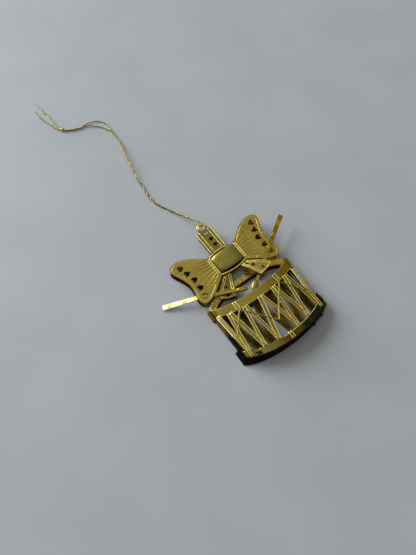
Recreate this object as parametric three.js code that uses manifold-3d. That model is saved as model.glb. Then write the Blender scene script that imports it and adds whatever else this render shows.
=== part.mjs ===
// Christmas drum ornament of etched, gold-plated sheet brass, lying on its back.
// Millimetres. +Z faces the viewer, +Y points to the hanging tab, +X to the ornament's right-hand side.
// Inside the model the bow's knot is at X = 0, Y = 0; at the end everything moves so that the origin lies
// below the middle of the rigid pieces.
import * as THREE from 'three';
import { mergeVertices } from 'three/addons/utils/BufferGeometryUtils.js';
import Module from 'manifold-3d';

const wasm = await Module();
wasm.setup();

// Sheet and layers
const SHEET = 0.45;
const CLEARANCE = 0.3;
const FRONT_LAYER = 4.5;

// How far a cutting outline runs past its sheet, and the height of a plan before its sheet is cut from it
const THROUGH = 1;
const TALL = 10;
const CURVE_STEPS = 24;

// Knot: a domed strap in the window of the bow's frame
const KNOT_HALF_WIDTH = 6.5;
const KNOT_SIDE = 4.4;
const KNOT_ARCH = 5.0;
const KNOT_SHOULDER = 5.1;
const KNOT_CROWN = 6.4;

// The bow's frame: its window leaves a slit above and below the knot, and its bars go round the window
const WINDOW_SLIT = 0.75;
const FRAME_BAR = 0.8;
const FRAME_CORNER_BAR = 0.6;
const FRAME_ARCH_BAR = 0.7;
const WINDOW_HALF_WIDTH = KNOT_HALF_WIDTH + CLEARANCE;
const WINDOW_SIDE = KNOT_SIDE + CLEARANCE;
const WINDOW_ARCH = KNOT_ARCH + WINDOW_SLIT;
const FRAME_HALF_WIDTH = WINDOW_HALF_WIDTH + FRAME_BAR;
const FRAME_SIDE = WINDOW_SIDE + FRAME_CORNER_BAR;
const FRAME_ARCH = WINDOW_ARCH + FRAME_ARCH_BAR;

// Bow wings, given for the right wing and mirrored for the left; their roots run into the frame's bars
const WING_ROOT_LAP = 0.6;
const WING_ROOT_X = FRAME_HALF_WIDTH - WING_ROOT_LAP;
const WING_ROOT_TOP = 5;
const WING_ROOT_BOTTOM = -5.4;
const WING_CROWN = { x: 21.2, y: 12.4 };
const WING_TIP = { x: 25.3, y: 8.4 };
const WING_WAIST = { x: 21.9, y: -1.6 };
const WING_LOBE = { x: 22.9, y: -9.3 };
const WING_FOOT = { x: 19.8, y: -12.4 };
const WING_HEARTS = [
  { x: 20.6, y: 8.5 },
  { x: 19.5, y: 4.6 },
  { x: 18.4, y: 0.2 },
  { x: 18.6, y: -4.6 },
  { x: 19.1, y: -9.0 },
];
const WING_HEART_LENGTH = 3.0;

// Hanging strip with its tab
const STRIP_MIDDLE = -0.2;
const STRIP_HALF_WIDTH = 4.35;
const STRIP_TOP = 18.6;
const STRIP_BACK_INSET = 0.7;
const TAB_X = 0.4;
const TAB_CENTRE = 20.7;
const TAB_RADIUS = 2.4;
const EYE_RADIUS = 1.05;
const STRIP_HEART_X = 0.5;
const STRIP_HEART_PITCH = 3.5;
const STRIP_HEART_FIRST = 9.4;
const STRIP_HEART_LENGTH = 2.2;

// Ribbon tails: outline from the inner top corner round by the outer edge, and the height of the underside
// at the root, at the bend and at the end, each at its Y
const LEFT_TAIL = {
  edge: [
    { x: -2.9, y: -6.7 },
    { x: -6.9, y: -6.05 },
    { x: -12.6, y: -10.7 },
    { x: -14.7, y: -13.6 },
    { x: -11.2, y: -15.8 },
    { x: -7.2, y: -17 },
  ],
  hearts: [
    { x: -7.4, y: -8.1 },
    { x: -8.9, y: -11 },
    { x: -10.5, y: -14.6 },
  ],
  fall: [{ y: -5, z: 4.5 }, { y: -9.8, z: 2.95 }, { y: -18, z: 2.75 }],
};
const RIGHT_TAIL = {
  edge: [
    { x: 2.8, y: -6.7 },
    { x: 6.6, y: -6.1 },
    { x: 13.1, y: -11.2 },
    { x: 15.3, y: -14.2 },
    { x: 11.1, y: -15.6 },
    { x: 7.0, y: -16.3 },
  ],
  hearts: [
    { x: 5.5, y: -7.9 },
    { x: 7.3, y: -10.2 },
    { x: 10, y: -13.9 },
  ],
  fall: [{ y: -5, z: 4.4 }, { y: -9.6, z: 5.98 }, { y: -18, z: 6.4 }],
};
const TAIL_HEART_LENGTH = 1.9;

// Drumsticks: plan points of the centre line, and the height of the underside at each
const STICK_HANDLE_WIDTH = 2.3;
const STICK_NECK_WIDTH = 1.3;
const BEAD_LENGTH = 5.4;
const LEFT_STICK = {
  bead: 2.3,
  line: [
    { x: -37.7, y: -1.0, z: 0.4 },
    { x: -22.6, y: -7.2, z: 3.3 },
    { x: -1.5, y: -17.6, z: 4.7 },
  ],
};
const RIGHT_STICK = {
  bead: 3.0,
  line: [
    { x: 34.3, y: 2.3, z: 6.4 },
    { x: 14.2, y: -10.4, z: 5.26 },
    { x: -0.3, y: -19.9, z: 5.0 },
  ],
};

// Drum front, bowed across its width; its hoops are drawn as arcs of an ellipse about the drum's middle
const DRUM_CENTRE = 0.5;
const DRUM_HALF_WIDTH = 22.2;
const FOLD_INSET = 2;
const FOLD_X = DRUM_HALF_WIDTH - FOLD_INSET;
const DRUM_CROWN = 6.8;
const DRUM_FOLD_HEIGHT = 4.9;
const DRUM_EDGE_HEIGHT = 4.1;
const HOOP_ELLIPSE_EXTRA = 1.8;
const HOOP_ELLIPSE = DRUM_HALF_WIDTH + HOOP_ELLIPSE_EXTRA;
const TOP_HOOP = { upper: -20.3, lower: -24.6, bow: 7.4 };
const LOWER_HOOP = { upper: -44.9, lower: -48.0, bow: 9.6 };
const HOOP_LAP = 0.8;
const ROPE_WIDTH = 1.5;
const ROPE_SPLIT = 0.5;
const ROPE_PEAKS = [-16, -8.6, 0, 7.3, 15.5];
const ROPE_FEET = [-19.2, -12.5, -6, 4.8, 11.3, 18.7];
const ROD_WIDTH = 1.7;
const LEFT_ROD = { side: -1, topInset: 1.2, kneeInset: 1.8, footInset: 2.3, kneeY: -32.4 };
const RIGHT_ROD = { side: 1, topInset: 1.8, kneeInset: 2.8, footInset: 3.2, kneeY: -33 };
const SWAG_WIDTH = 0.9;
const SWAG_MIDDLE = [
  { x: -11.2, y: -23.8 },
  { x: -9.6, y: -26.2 },
  { x: -5.7, y: -31.2 },
  { x: -2.1, y: -35.9 },
  { x: -0.3, y: -37.2 },
  { x: 1.4, y: -34.8 },
  { x: 5.7, y: -30.1 },
  { x: 9.8, y: -25.3 },
  { x: 11.3, y: -23.8 },
];
const SWAG_LEFT = [
  { x: -11.4, y: -23.8 },
  { x: -14.3, y: -26.9 },
  { x: -18.6, y: -31.9 },
  { x: -19.9, y: -32.4 },
  { x: -21.4, y: -31.2 },
];
const SWAG_RIGHT = [
  { x: 11.3, y: -23.8 },
  { x: 14.3, y: -28 },
  { x: 17.5, y: -33 },
  { x: 19.6, y: -33.6 },
  { x: 21.9, y: -31 },
];
const LOWER_SLOT = { from: { x: -17.5, y: -43.8 }, to: { x: -15.7, y: -44.5 }, width: 1.4 };

// Drum back and walls: how far the walls' feet stand out from the drum front's edge between the shoulders,
// at the two shoulders and at the lower corners
const BACK_CENTRE = -0.1;
const SIDE_SPREAD = 0.1;
const TOP_SHOULDER_SPREAD = 0.7;
const LOWER_SHOULDER_SPREAD = 1.6;
const CORNER_SPREAD = 1.9;
const SIDE_FOOT = DRUM_HALF_WIDTH + SIDE_SPREAD;
const TOP_SHOULDER = DRUM_HALF_WIDTH + TOP_SHOULDER_SPREAD;
const LOWER_SHOULDER = DRUM_HALF_WIDTH + LOWER_SHOULDER_SPREAD;
const CORNER_X = DRUM_HALF_WIDTH + CORNER_SPREAD;
const SHOULDER_TOP = -15.4;
const SHOULDER_END = -20.2;
const LOWER_SHOULDER_START = -37.4;
const JOG = 0.5;
const BACK_BOTTOM = -49.0;
const BACK_BOW = 8.6;
const BACK_ELLIPSE_EXTRA = 1.9;
const BACK_ELLIPSE = CORNER_X + BACK_ELLIPSE_EXTRA;
const BACK_BORDER = 1;
const BACK_ROPE_WIDTH = 2.6;
const BACK_ROPE_SHIFT = -1.5;
const WALL_LEAN = 0.4;
const WALL_TOP = DRUM_EDGE_HEIGHT - SHEET - CLEARANCE;

// Folded ends of two tabs that stand out of the lower hoop's wall at its foot
const WALL_TABS = { xs: [12.5, 18.2], width: 1.3, height: 0.9, reach: 0.45 };

// Drumhead rim: half ovals about a common centre height, fuller than ellipses, bowed towards the back
const RIM_FULLNESS = 2.4;
const RIM_CENTRE_Y = -20;
const RIM_OVERHANG = 1;
const RIM_BAND = { side: 3.2, middle: 3 };
const RIM_OUTER = { a: DRUM_HALF_WIDTH + RIM_OVERHANG, b: 10.2 };
const RIM_INNER = { a: RIM_OUTER.a - RIM_BAND.side, b: RIM_OUTER.b - RIM_BAND.middle };
const HEAD_OPENING_END = 1.8;
const HEAD_OPENING_HALF = RIM_INNER.a - HEAD_OPENING_END;
const HEAD_OPENING_INSET = 0.4;
const RIM_LOW = 1.0;
const RIM_RISE = 2.0;

// Thread: thickness of one strand and of the twisted pair, and the way each stretch takes
const STRAND = 0.45;
const PAIR = 0.9;
const THREAD_KNOT = [-23.1, 116.8, 0.9];
const THREAD_KNOT_RADIUS = 0.85;
const EYE_LOOP = [
  [1.35, 24.1, 4.5],
  [1.25, 22.9, 5.0],
  [0.7, 21.6, 4.95],
  [0.3, 20.85, 4.3],
  [0.7, 21.6, 3.6],
  [1.25, 22.9, 3.5],
  [1.3, 24.0, 3.8],
];
const DOUBLED = [
  [1.15, 24.6, 3.95],
  [0.2, 26.8, 3.2],
  [-2.6, 34.0, 1.4],
  [-5.5, 40.4, 0.6],
  [-8.2, 46.1, 0.5],
  [-9.1, 49.6, 0.5],
  [-9.3, 54.3, 0.5],
  [-8.6, 59.4, 0.8],
  [-8.2, 65.6, 1.5],
  [-7.0, 70.9, 1.8],
  [-5.8, 77.3, 1.8],
  [-3.9, 84.9, 1.5],
  [-2.9, 90.3, 1.0],
  [-2.3, 96.1, 0.6],
  [-2.3, 100.4, 0.5],
];
const UPPER_STRAND = [
  [-1.95, 101.2, 0.5],
  [-1.8, 105.8, 0.5],
  [-2.6, 108.3, 0.5],
  [-4.8, 111.1, 0.5],
  [-8.3, 112.5, 0.5],
  [-11.7, 112.7, 0.5],
];
const LOWER_STRAND = [
  [-2.75, 101.2, 0.5],
  [-3.5, 103.0, 0.5],
  [-5.2, 106.2, 0.5],
  [-7.9, 109.0, 0.5],
  [-10.1, 110.8, 0.5],
  [-11.8, 111.8, 0.5],
];
const REJOINED = [
  [-12.7, 112.2, 0.5],
  [-14.8, 112.3, 0.5],
  [-17.4, 113.3, 0.5],
  [-20.0, 114.3, 0.5],
  [-22.1, 115.8, 0.6],
];
const UPPER_END = [
  [-23.4, 118.1, 0.6],
  [-24.0, 120.6, 0.5],
  [-24.8, 125.3, 0.5],
  [-24.8, 131.7, 0.5],
  [-25.6, 133.2, 0.5],
  [-25.7, 137.7, 0.5],
  [-26.3, 141.8, 0.5],
];
const LOWER_END = [
  [-24.2, 117.7, 0.6],
  [-25.4, 119.8, 0.5],
  [-27.4, 126.1, 0.5],
  [-28.7, 131.0, 0.5],
  [-29.2, 135.4, 0.5],
  [-29.0, 136.9, 0.5],
];

const GOLD = { color: 0xb89b3e, roughness: 0.3, metalness: 1 };
const DARK = { color: 0x1d1b14, roughness: 0.45, metalness: 1 };
const THREAD = { color: 0xa08a35, roughness: 0.5, metalness: 0.8 };

function toSolid(geometry) {
  const bare = geometry.index ? geometry.toNonIndexed() : geometry.clone();
  bare.deleteAttribute('normal');
  bare.deleteAttribute('uv');
  const merged = mergeVertices(bare, 1e-5);
  return new wasm.Manifold(new wasm.Mesh({
    numProp: 3,
    vertProperties: new Float32Array(merged.attributes.position.array),
    triVerts: new Uint32Array(merged.index.array),
  }));
}

function toGeometry(solid) {
  const mesh = solid.getMesh();
  const geometry = new THREE.BufferGeometry();
  geometry.setAttribute('position', new THREE.BufferAttribute(new Float32Array(mesh.vertProperties), 3));
  geometry.setIndex(new THREE.BufferAttribute(new Uint32Array(mesh.triVerts), 1));
  geometry.computeVertexNormals();
  return geometry;
}

function joined(solids) {
  return solids.reduce((whole, piece) => whole.add(piece));
}

function cutBy(solid, tools) {
  return tools.reduce((rest, tool) => rest.subtract(tool), solid);
}

// A flat outline given a thickness from one height to another.
function prism(shape, from, to, curveSegments = 8) {
  const geometry = new THREE.ExtrudeGeometry(shape, {
    depth: to - from,
    bevelEnabled: false,
    curveSegments,
  });
  return toSolid(geometry.translate(0, 0, from));
}

// A profile drawn in X and Z, carried along Y from one place to another.
function sill(shape, fromY, toY) {
  const geometry = new THREE.ExtrudeGeometry(shape, { depth: toY - fromY, bevelEnabled: false });
  return toSolid(geometry.rotateX(Math.PI / 2).translate(0, toY, 0));
}

function outline(points) {
  const shape = new THREE.Shape();
  shape.moveTo(points[0].x, points[0].y);
  points.slice(1).forEach((p) => shape.lineTo(p.x, p.y));
  shape.closePath();
  return shape;
}

function spread(from, to, count) {
  return Array.from({ length: count + 1 }, (_, i) => from + ((to - from) * i) / count);
}

// A heart of the given length whose point looks along the direction, an angle from +X.
function heart(x, y, length, direction) {
  const half = length / 2;
  const lobe = length * 0.58;
  const cos = Math.cos(direction);
  const sin = Math.sin(direction);
  const at = (u, v) => [x + half * u * cos - lobe * v * sin, y + half * u * sin + lobe * v * cos];
  const shape = new THREE.Shape();
  shape.moveTo(...at(1, 0));
  shape.bezierCurveTo(...at(0.3, 0.7), ...at(-0.2, 1), ...at(-0.75, 0.8));
  shape.bezierCurveTo(...at(-1.2, 0.6), ...at(-1.1, 0.15), ...at(-0.6, 0));
  shape.bezierCurveTo(...at(-1.1, -0.15), ...at(-1.2, -0.6), ...at(-0.75, -0.8));
  shape.bezierCurveTo(...at(-0.2, -1), ...at(0.3, -0.7), ...at(1, 0));
  return shape;
}

function wingShape(side) {
  const at = (x, y) => [side * x, y];
  const shape = new THREE.Shape();
  shape.moveTo(...at(WING_ROOT_X, WING_ROOT_BOTTOM));
  shape.lineTo(...at(WING_ROOT_X, WING_ROOT_TOP));
  shape.bezierCurveTo(
    ...at(WING_ROOT_X + 4.5, WING_ROOT_TOP + 2.4),
    ...at(WING_CROWN.x - 5.4, WING_CROWN.y),
    ...at(WING_CROWN.x, WING_CROWN.y),
  );
  shape.bezierCurveTo(
    ...at(WING_CROWN.x + 2.8, WING_CROWN.y),
    ...at(WING_TIP.x + 0.9, WING_TIP.y + 2.5),
    ...at(WING_TIP.x, WING_TIP.y),
  );
  shape.bezierCurveTo(
    ...at(WING_TIP.x - 0.8, WING_TIP.y - 2.3),
    ...at(WING_WAIST.x, WING_WAIST.y + 3.6),
    ...at(WING_WAIST.x, WING_WAIST.y),
  );
  shape.bezierCurveTo(
    ...at(WING_WAIST.x, WING_WAIST.y - 3),
    ...at(WING_LOBE.x + 0.2, WING_LOBE.y + 2.6),
    ...at(WING_LOBE.x, WING_LOBE.y),
  );
  shape.bezierCurveTo(
    ...at(WING_LOBE.x - 0.1, WING_LOBE.y - 2),
    ...at(WING_FOOT.x + 1.7, WING_FOOT.y),
    ...at(WING_FOOT.x, WING_FOOT.y),
  );
  shape.bezierCurveTo(
    ...at(WING_FOOT.x - 3.6, WING_FOOT.y),
    ...at(WING_ROOT_X + 4.6, WING_ROOT_BOTTOM - 2.8),
    ...at(WING_ROOT_X, WING_ROOT_BOTTOM),
  );
  return shape;
}

function wing(side, from, to) {
  const inward = side > 0 ? Math.PI : 0;
  const hearts = WING_HEARTS.map((h) => (
    prism(heart(side * h.x, h.y, WING_HEART_LENGTH, inward), from - THROUGH, to + THROUGH, 4)
  ));
  return cutBy(prism(wingShape(side), from, to), hearts);
}

// A barrel shape: straight sides, with its upper and lower edges arched.
function barrel(halfWidth, side, arch) {
  const shape = new THREE.Shape();
  const control = 2 * arch - side;
  shape.moveTo(-halfWidth, -side);
  shape.quadraticCurveTo(0, -control, halfWidth, -side);
  shape.lineTo(halfWidth, side);
  shape.quadraticCurveTo(0, control, -halfWidth, side);
  shape.closePath();
  return shape;
}

function frame(from, to) {
  return prism(barrel(FRAME_HALF_WIDTH, FRAME_SIDE, FRAME_ARCH), from, to);
}

function bowFront() {
  const from = FRONT_LAYER;
  const to = FRONT_LAYER + SHEET;
  const window = barrel(WINDOW_HALF_WIDTH, WINDOW_SIDE, WINDOW_ARCH);
  return frame(from, to)
    .add(wing(1, from, to))
    .add(wing(-1, from, to))
    .subtract(prism(window, from - THROUGH, to + THROUGH));
}

// The knot's strap rises from the back layer on two legs and arches over the window.
function bowKnot() {
  const steps = spread(-1, 1, 20);
  const arch = (half, crown, shoulder) => steps.map((t) => ({
    x: half * t,
    y: shoulder + (crown - shoulder) * (1 - t * t),
  }));
  const outer = arch(KNOT_HALF_WIDTH, KNOT_CROWN, KNOT_SHOULDER);
  const inner = arch(KNOT_HALF_WIDTH - SHEET, KNOT_CROWN - SHEET, KNOT_SHOULDER - SHEET / 2);
  const profile = outline([
    { x: -KNOT_HALF_WIDTH, y: SHEET },
    ...outer,
    { x: KNOT_HALF_WIDTH, y: SHEET },
    { x: KNOT_HALF_WIDTH - SHEET, y: SHEET },
    ...inner.reverse(),
    { x: SHEET - KNOT_HALF_WIDTH, y: SHEET },
  ]);
  const plan = prism(barrel(KNOT_HALF_WIDTH + THROUGH, KNOT_SIDE, KNOT_ARCH), 0, TALL);
  return sill(profile, -KNOT_ARCH - THROUGH, KNOT_ARCH + THROUGH).intersect(plan);
}

function stripShape(halfWidth, bottom, top, withTab) {
  const shape = new THREE.Shape();
  shape.moveTo(-halfWidth, bottom);
  shape.lineTo(halfWidth, bottom);
  shape.lineTo(halfWidth, top);
  if (withTab) {
    shape.lineTo(TAB_X + TAB_RADIUS, top);
    shape.lineTo(TAB_X + TAB_RADIUS, TAB_CENTRE);
    shape.absarc(TAB_X, TAB_CENTRE, TAB_RADIUS, 0, Math.PI, false);
    shape.lineTo(TAB_X - TAB_RADIUS, top);
  }
  shape.lineTo(-halfWidth, top);
  shape.closePath();
  return shape;
}

function stripHearts(from, to) {
  return [0, 1, 2].map((i) => {
    const y = STRIP_HEART_FIRST + i * STRIP_HEART_PITCH;
    return prism(heart(STRIP_HEART_X, y, STRIP_HEART_LENGTH, -Math.PI / 2), from, to, 4);
  });
}

// The strip lies under the bow's frame, against its underside.
function hangingStrip() {
  const to = FRONT_LAYER;
  const from = to - SHEET;
  const eye = new THREE.Shape().absarc(TAB_X, TAB_CENTRE, EYE_RADIUS, 0, 2 * Math.PI, false);
  const body = prism(stripShape(STRIP_HALF_WIDTH, WINDOW_ARCH, STRIP_TOP, true), from, to, 14);
  const cutFrom = from - THROUGH;
  const cutTo = to + THROUGH;
  return cutBy(body, [prism(eye, cutFrom, cutTo, 10), ...stripHearts(cutFrom, cutTo)])
    .translate([STRIP_MIDDLE, 0, 0]);
}

function tailHearts(tail, from, to) {
  const [first, , last] = tail.hearts;
  const along = Math.atan2(last.y - first.y, last.x - first.x);
  return tail.hearts.map((h) => prism(heart(h.x, h.y, TAIL_HEART_LENGTH, along), from, to, 3));
}

// The back layer's tail, which runs on to the bow's frame.
function flatTail(tail) {
  const [inner, outer, ...rest] = tail.edge;
  const root = [{ x: inner.x, y: -FRAME_SIDE }, { x: outer.x, y: -FRAME_SIDE }];
  return cutBy(prism(outline([...root, ...rest]), 0, SHEET), tailHearts(tail, -THROUGH, SHEET + THROUGH));
}

// A tail is its plan outline cut from a sheet that is bent once across its way to the drum.
function ribbonTail(tail) {
  const low = tail.fall.map((p) => ({ x: -p.y, y: p.z }));
  const high = low.map((p) => ({ x: p.x, y: p.y + SHEET })).reverse();
  const depth = 4 * TALL;
  const band = new THREE.ExtrudeGeometry(outline([...low, ...high]), { depth, bevelEnabled: false });
  band.rotateX(Math.PI / 2);
  band.rotateZ(-Math.PI / 2);
  band.translate(depth / 2, 0, 0);
  const plan = prism(outline(tail.edge), 0, TALL);
  return cutBy(plan.intersect(toSolid(band)), tailHearts(tail, 0, TALL));
}

// A stick's plan: two straight edges that taper from handle to neck, then an oval bead.
function stickShape(stick) {
  const [end, bend, tip] = stick.line.map((p) => new THREE.Vector2(p.x, p.y));
  const last = tip.clone().sub(bend).normalize();
  const first = bend.clone().sub(end).normalize();
  const neck = tip.clone().addScaledVector(last, -BEAD_LENGTH * 0.92);
  const normal = (d) => new THREE.Vector2(-d.y, d.x);
  const middle = normal(first.clone().add(last).normalize());
  const bendWidth = (STICK_HANDLE_WIDTH + STICK_NECK_WIDTH) / 2;
  const edge = (p, n, w) => p.clone().addScaledVector(n, w / 2);
  const beadCentre = tip.clone().addScaledVector(last, -BEAD_LENGTH / 2);
  const bead = new THREE.Shape().absellipse(
    beadCentre.x, beadCentre.y, BEAD_LENGTH / 2, stick.bead / 2,
    0, 2 * Math.PI, false, Math.atan2(last.y, last.x),
  );
  const shaft = outline([
    edge(end, normal(first), STICK_HANDLE_WIDTH),
    edge(bend, middle, bendWidth),
    edge(neck, normal(last), STICK_NECK_WIDTH),
    edge(neck, normal(last), -STICK_NECK_WIDTH),
    edge(bend, middle, -bendWidth),
    edge(end, normal(first), -STICK_HANDLE_WIDTH),
  ]);
  return { shaft, bead };
}

// A stick's sheet follows the heights of its three points across X, then takes the plan's outline.
function drumstick(stick) {
  const points = stick.line;
  const { shaft, bead } = stickShape(stick);
  const plan = prism(shaft, 0, TALL).add(prism(bead, 0, TALL));
  const outward = Math.sign(points[0].x);
  const slope = (a, b) => (b.z - a.z) / (b.x - a.x);
  const beyond = (from, towards, x) => ({ x, y: from.z + slope(from, towards) * (x - from.x) });
  const low = [
    beyond(points[0], points[1], points[0].x + outward * STICK_HANDLE_WIDTH),
    { x: points[1].x, y: points[1].z },
    beyond(points[2], points[1], points[2].x - outward * STICK_HANDLE_WIDTH),
  ];
  const high = low.map((p) => ({ x: p.x, y: p.y + SHEET })).reverse();
  return plan.intersect(sill(outline([...low, ...high]), points[2].y - TALL, points[0].y + TALL));
}

function halfOval(size, x) {
  const rest = Math.max(0, 1 - Math.abs(x / size.a) ** RIM_FULLNESS);
  return RIM_CENTRE_Y + size.b * rest ** (1 / RIM_FULLNESS);
}

// Plan of the drumhead rim: the space between two half ovals, from one place in X to another.
function rimShape(from, to) {
  const outer = spread(from, to, CURVE_STEPS).map((x) => ({ x, y: halfOval(RIM_OUTER, x) }));
  const inner = spread(-RIM_INNER.a, RIM_INNER.a, CURVE_STEPS)
    .map((x) => ({ x, y: halfOval(RIM_INNER, x) }));
  return outline([
    { x: from, y: RIM_CENTRE_Y },
    ...outer,
    { x: to, y: RIM_CENTRE_Y },
    ...inner.reverse(),
  ]);
}

// How far a side wall's inner face lies from the drum's middle at a height.
function wallInside(height) {
  return SIDE_FOOT - (WALL_LEAN * (height - SHEET)) / (WALL_TOP - SHEET) - SHEET;
}

function drumheadRim() {
  const half = wallInside(RIM_LOW + RIM_RISE + SHEET) - CLEARANCE;
  const from = BACK_CENTRE - half;
  const to = BACK_CENTRE + half;
  const low = spread(from - THROUGH, to + THROUGH, CURVE_STEPS)
    .map((x) => ({ x, y: RIM_LOW + RIM_RISE * (x / half) ** 2 }));
  const high = low.map((p) => ({ x: p.x, y: p.y + SHEET })).reverse();
  const sheet = sill(outline([...low, ...high]), RIM_CENTRE_Y - THROUGH, 0);
  return prism(rimShape(from, to), 0, TALL).intersect(sheet);
}

// Height of the drum front's underside: an arc between the folds, then a steeper facet to each edge.
function frontUnderside(x) {
  const across = Math.abs(x - DRUM_CENTRE);
  const crown = DRUM_CROWN - SHEET;
  const fold = DRUM_FOLD_HEIGHT - SHEET;
  if (across <= FOLD_X) {
    return crown - (crown - fold) * (across / FOLD_X) ** 2;
  }
  const fall = (DRUM_FOLD_HEIGHT - DRUM_EDGE_HEIGHT) / (DRUM_HALF_WIDTH - FOLD_X);
  return fold - fall * (across - FOLD_X);
}

// Hoop edges follow an ellipse that dips in the drum's middle.
function dip(lowest, bow, x, ellipse = HOOP_ELLIPSE, middle = DRUM_CENTRE) {
  return lowest + bow * (1 - Math.sqrt(1 - ((x - middle) / ellipse) ** 2));
}

function hoop(size, half) {
  const xs = spread(DRUM_CENTRE - half, DRUM_CENTRE + half, CURVE_STEPS);
  const lower = xs.map((x) => ({ x, y: dip(size.lower, size.bow, x) }));
  const upper = xs.map((x) => ({ x, y: dip(size.upper, size.bow, x) })).reverse();
  return outline([...lower, ...upper]);
}

// A straight strip of even width between two points.
function strip(a, b, width) {
  const along = new THREE.Vector2(b.x - a.x, b.y - a.y).normalize();
  const n = { x: (-along.y * width) / 2, y: (along.x * width) / 2 };
  return outline([
    { x: a.x + n.x, y: a.y + n.y },
    { x: a.x - n.x, y: a.y - n.y },
    { x: b.x - n.x, y: b.y - n.y },
    { x: b.x + n.x, y: b.y + n.y },
  ]);
}

// A strip of even width that follows a curve.
function ribbonAlong(curve, width, steps) {
  const left = [];
  const right = [];
  spread(0, 1, steps).forEach((t) => {
    const p = curve.getPoint(t);
    const d = curve.getTangent(t);
    left.push({ x: p.x - (d.y * width) / 2, y: p.y + (d.x * width) / 2 });
    right.push({ x: p.x + (d.y * width) / 2, y: p.y - (d.x * width) / 2 });
  });
  return outline([...left, ...right.reverse()]);
}

// Ropes and rods run a little way into the hoops.
const bandEdge = (x) => dip(TOP_HOOP.lower, TOP_HOOP.bow, x) + HOOP_LAP;
const hoopEdge = (x) => dip(LOWER_HOOP.upper, LOWER_HOOP.bow, x) - HOOP_LAP;

function ropeShapes(width = ROPE_WIDTH, shift = 0) {
  return ROPE_PEAKS.flatMap((peak, i) => [ROPE_FEET[i], ROPE_FEET[i + 1]].map((foot) => {
    const top = peak + Math.sign(foot - peak) * ROPE_SPLIT;
    return strip({ x: top + shift, y: bandEdge(top) }, { x: foot + shift, y: hoopEdge(foot) }, width);
  }));
}

// A side rod bends a little where the swag is tied to it.
function rodShapes(rod, shift = 0) {
  const across = (inset) => DRUM_CENTRE + rod.side * (DRUM_HALF_WIDTH - inset);
  const at = (x, y) => ({ x: x + shift, y });
  const top = at(across(rod.topInset), bandEdge(across(rod.topInset)));
  const knee = at(across(rod.kneeInset), rod.kneeY);
  const foot = at(across(rod.footInset), hoopEdge(across(rod.footInset)));
  return [strip(top, knee, ROD_WIDTH), strip(knee, foot, ROD_WIDTH)];
}

// The cord that hangs in swags from the two anchors of the top hoop.
function swagShapes() {
  return [SWAG_MIDDLE, SWAG_LEFT, SWAG_RIGHT].map((points) => {
    const curve = new THREE.CatmullRomCurve3(points.map((p) => new THREE.Vector3(p.x, p.y, 0)));
    return ribbonAlong(curve, SWAG_WIDTH, 2 * points.length);
  });
}

// The drum front: hoops, rods, ropes and swags in plan, cut from one bowed sheet.
function drumFrontPanel() {
  const shapes = [
    hoop(TOP_HOOP, DRUM_HALF_WIDTH),
    hoop(LOWER_HOOP, DRUM_HALF_WIDTH),
    ...rodShapes(LEFT_ROD),
    ...rodShapes(RIGHT_ROD),
    ...ropeShapes(),
    ...swagShapes(),
  ];
  const plan = joined(shapes.map((shape) => prism(shape, 0, TALL)));
  const slot = strip(LOWER_SLOT.from, LOWER_SLOT.to, LOWER_SLOT.width);
  const edge = DRUM_HALF_WIDTH + THROUGH;
  const xs = [-edge, ...spread(-FOLD_X, FOLD_X, 22), edge].map((x) => x + DRUM_CENTRE);
  const low = xs.map((x) => ({ x, y: frontUnderside(x) }));
  const high = low.map((p) => ({ x: p.x, y: p.y + SHEET })).reverse();
  const sheet = sill(outline([...low, ...high]), LOWER_HOOP.lower - THROUGH, 0);
  return plan.subtract(prism(slot, -THROUGH, TALL + THROUGH)).intersect(sheet);
}

// A point on the bottom edge of the drum's back, and the direction that faces out of the edge there.
function backFoot(x) {
  const u = x - BACK_CENTRE;
  const slope = (BACK_BOW * u) / (BACK_ELLIPSE ** 2 * Math.sqrt(1 - (u / BACK_ELLIPSE) ** 2));
  const length = Math.hypot(slope, 1);
  return {
    x,
    y: dip(BACK_BOTTOM, BACK_BOW, x, BACK_ELLIPSE, BACK_CENTRE),
    out: { x: slope / length, y: -1 / length },
  };
}

// Points of the drum's back outline along its bottom edge, from left to right.
function backBottom(count) {
  return spread(BACK_CENTRE - CORNER_X, BACK_CENTRE + CORNER_X, count).map(backFoot);
}

// One side of the drum's back, from the top down to the lower shoulder, with its two jogs.
function sideLine(side) {
  return [
    { x: BACK_CENTRE + side * TOP_SHOULDER, y: SHOULDER_TOP },
    { x: BACK_CENTRE + side * TOP_SHOULDER, y: SHOULDER_END },
    { x: BACK_CENTRE + side * SIDE_FOOT, y: SHOULDER_END - JOG },
    { x: BACK_CENTRE + side * SIDE_FOOT, y: LOWER_SHOULDER_START + JOG },
  ];
}

function shoulderPoint(side) {
  return { x: BACK_CENTRE + side * LOWER_SHOULDER, y: LOWER_SHOULDER_START };
}

function drumBackShape() {
  return outline([
    ...sideLine(1).reverse(),
    ...sideLine(-1),
    shoulderPoint(-1),
    ...backBottom(CURVE_STEPS),
    shoulderPoint(1),
  ]);
}

// The openings of the drum's back: what its own zigzag, in wider bars than the front's, leaves free between the
// hoops. It lies a little beside the front's.
function backOpenings(from, to) {
  const half = SIDE_FOOT - BACK_BORDER;
  const xs = spread(BACK_CENTRE - half, BACK_CENTRE + half, CURVE_STEPS);
  const top = xs.map((x) => ({ x, y: dip(TOP_HOOP.lower, TOP_HOOP.bow, x) }));
  const foot = xs.map((x) => ({ x, y: dip(LOWER_HOOP.upper, LOWER_HOOP.bow, x) })).reverse();
  const bars = [
    ...rodShapes(LEFT_ROD, BACK_ROPE_SHIFT),
    ...rodShapes(RIGHT_ROD, BACK_ROPE_SHIFT),
    ...ropeShapes(BACK_ROPE_WIDTH, BACK_ROPE_SHIFT),
  ];
  return cutBy(
    prism(outline([...top, ...foot]), from, to),
    bars.map((bar) => prism(bar, from - THROUGH, to + THROUGH)),
  );
}

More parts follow.
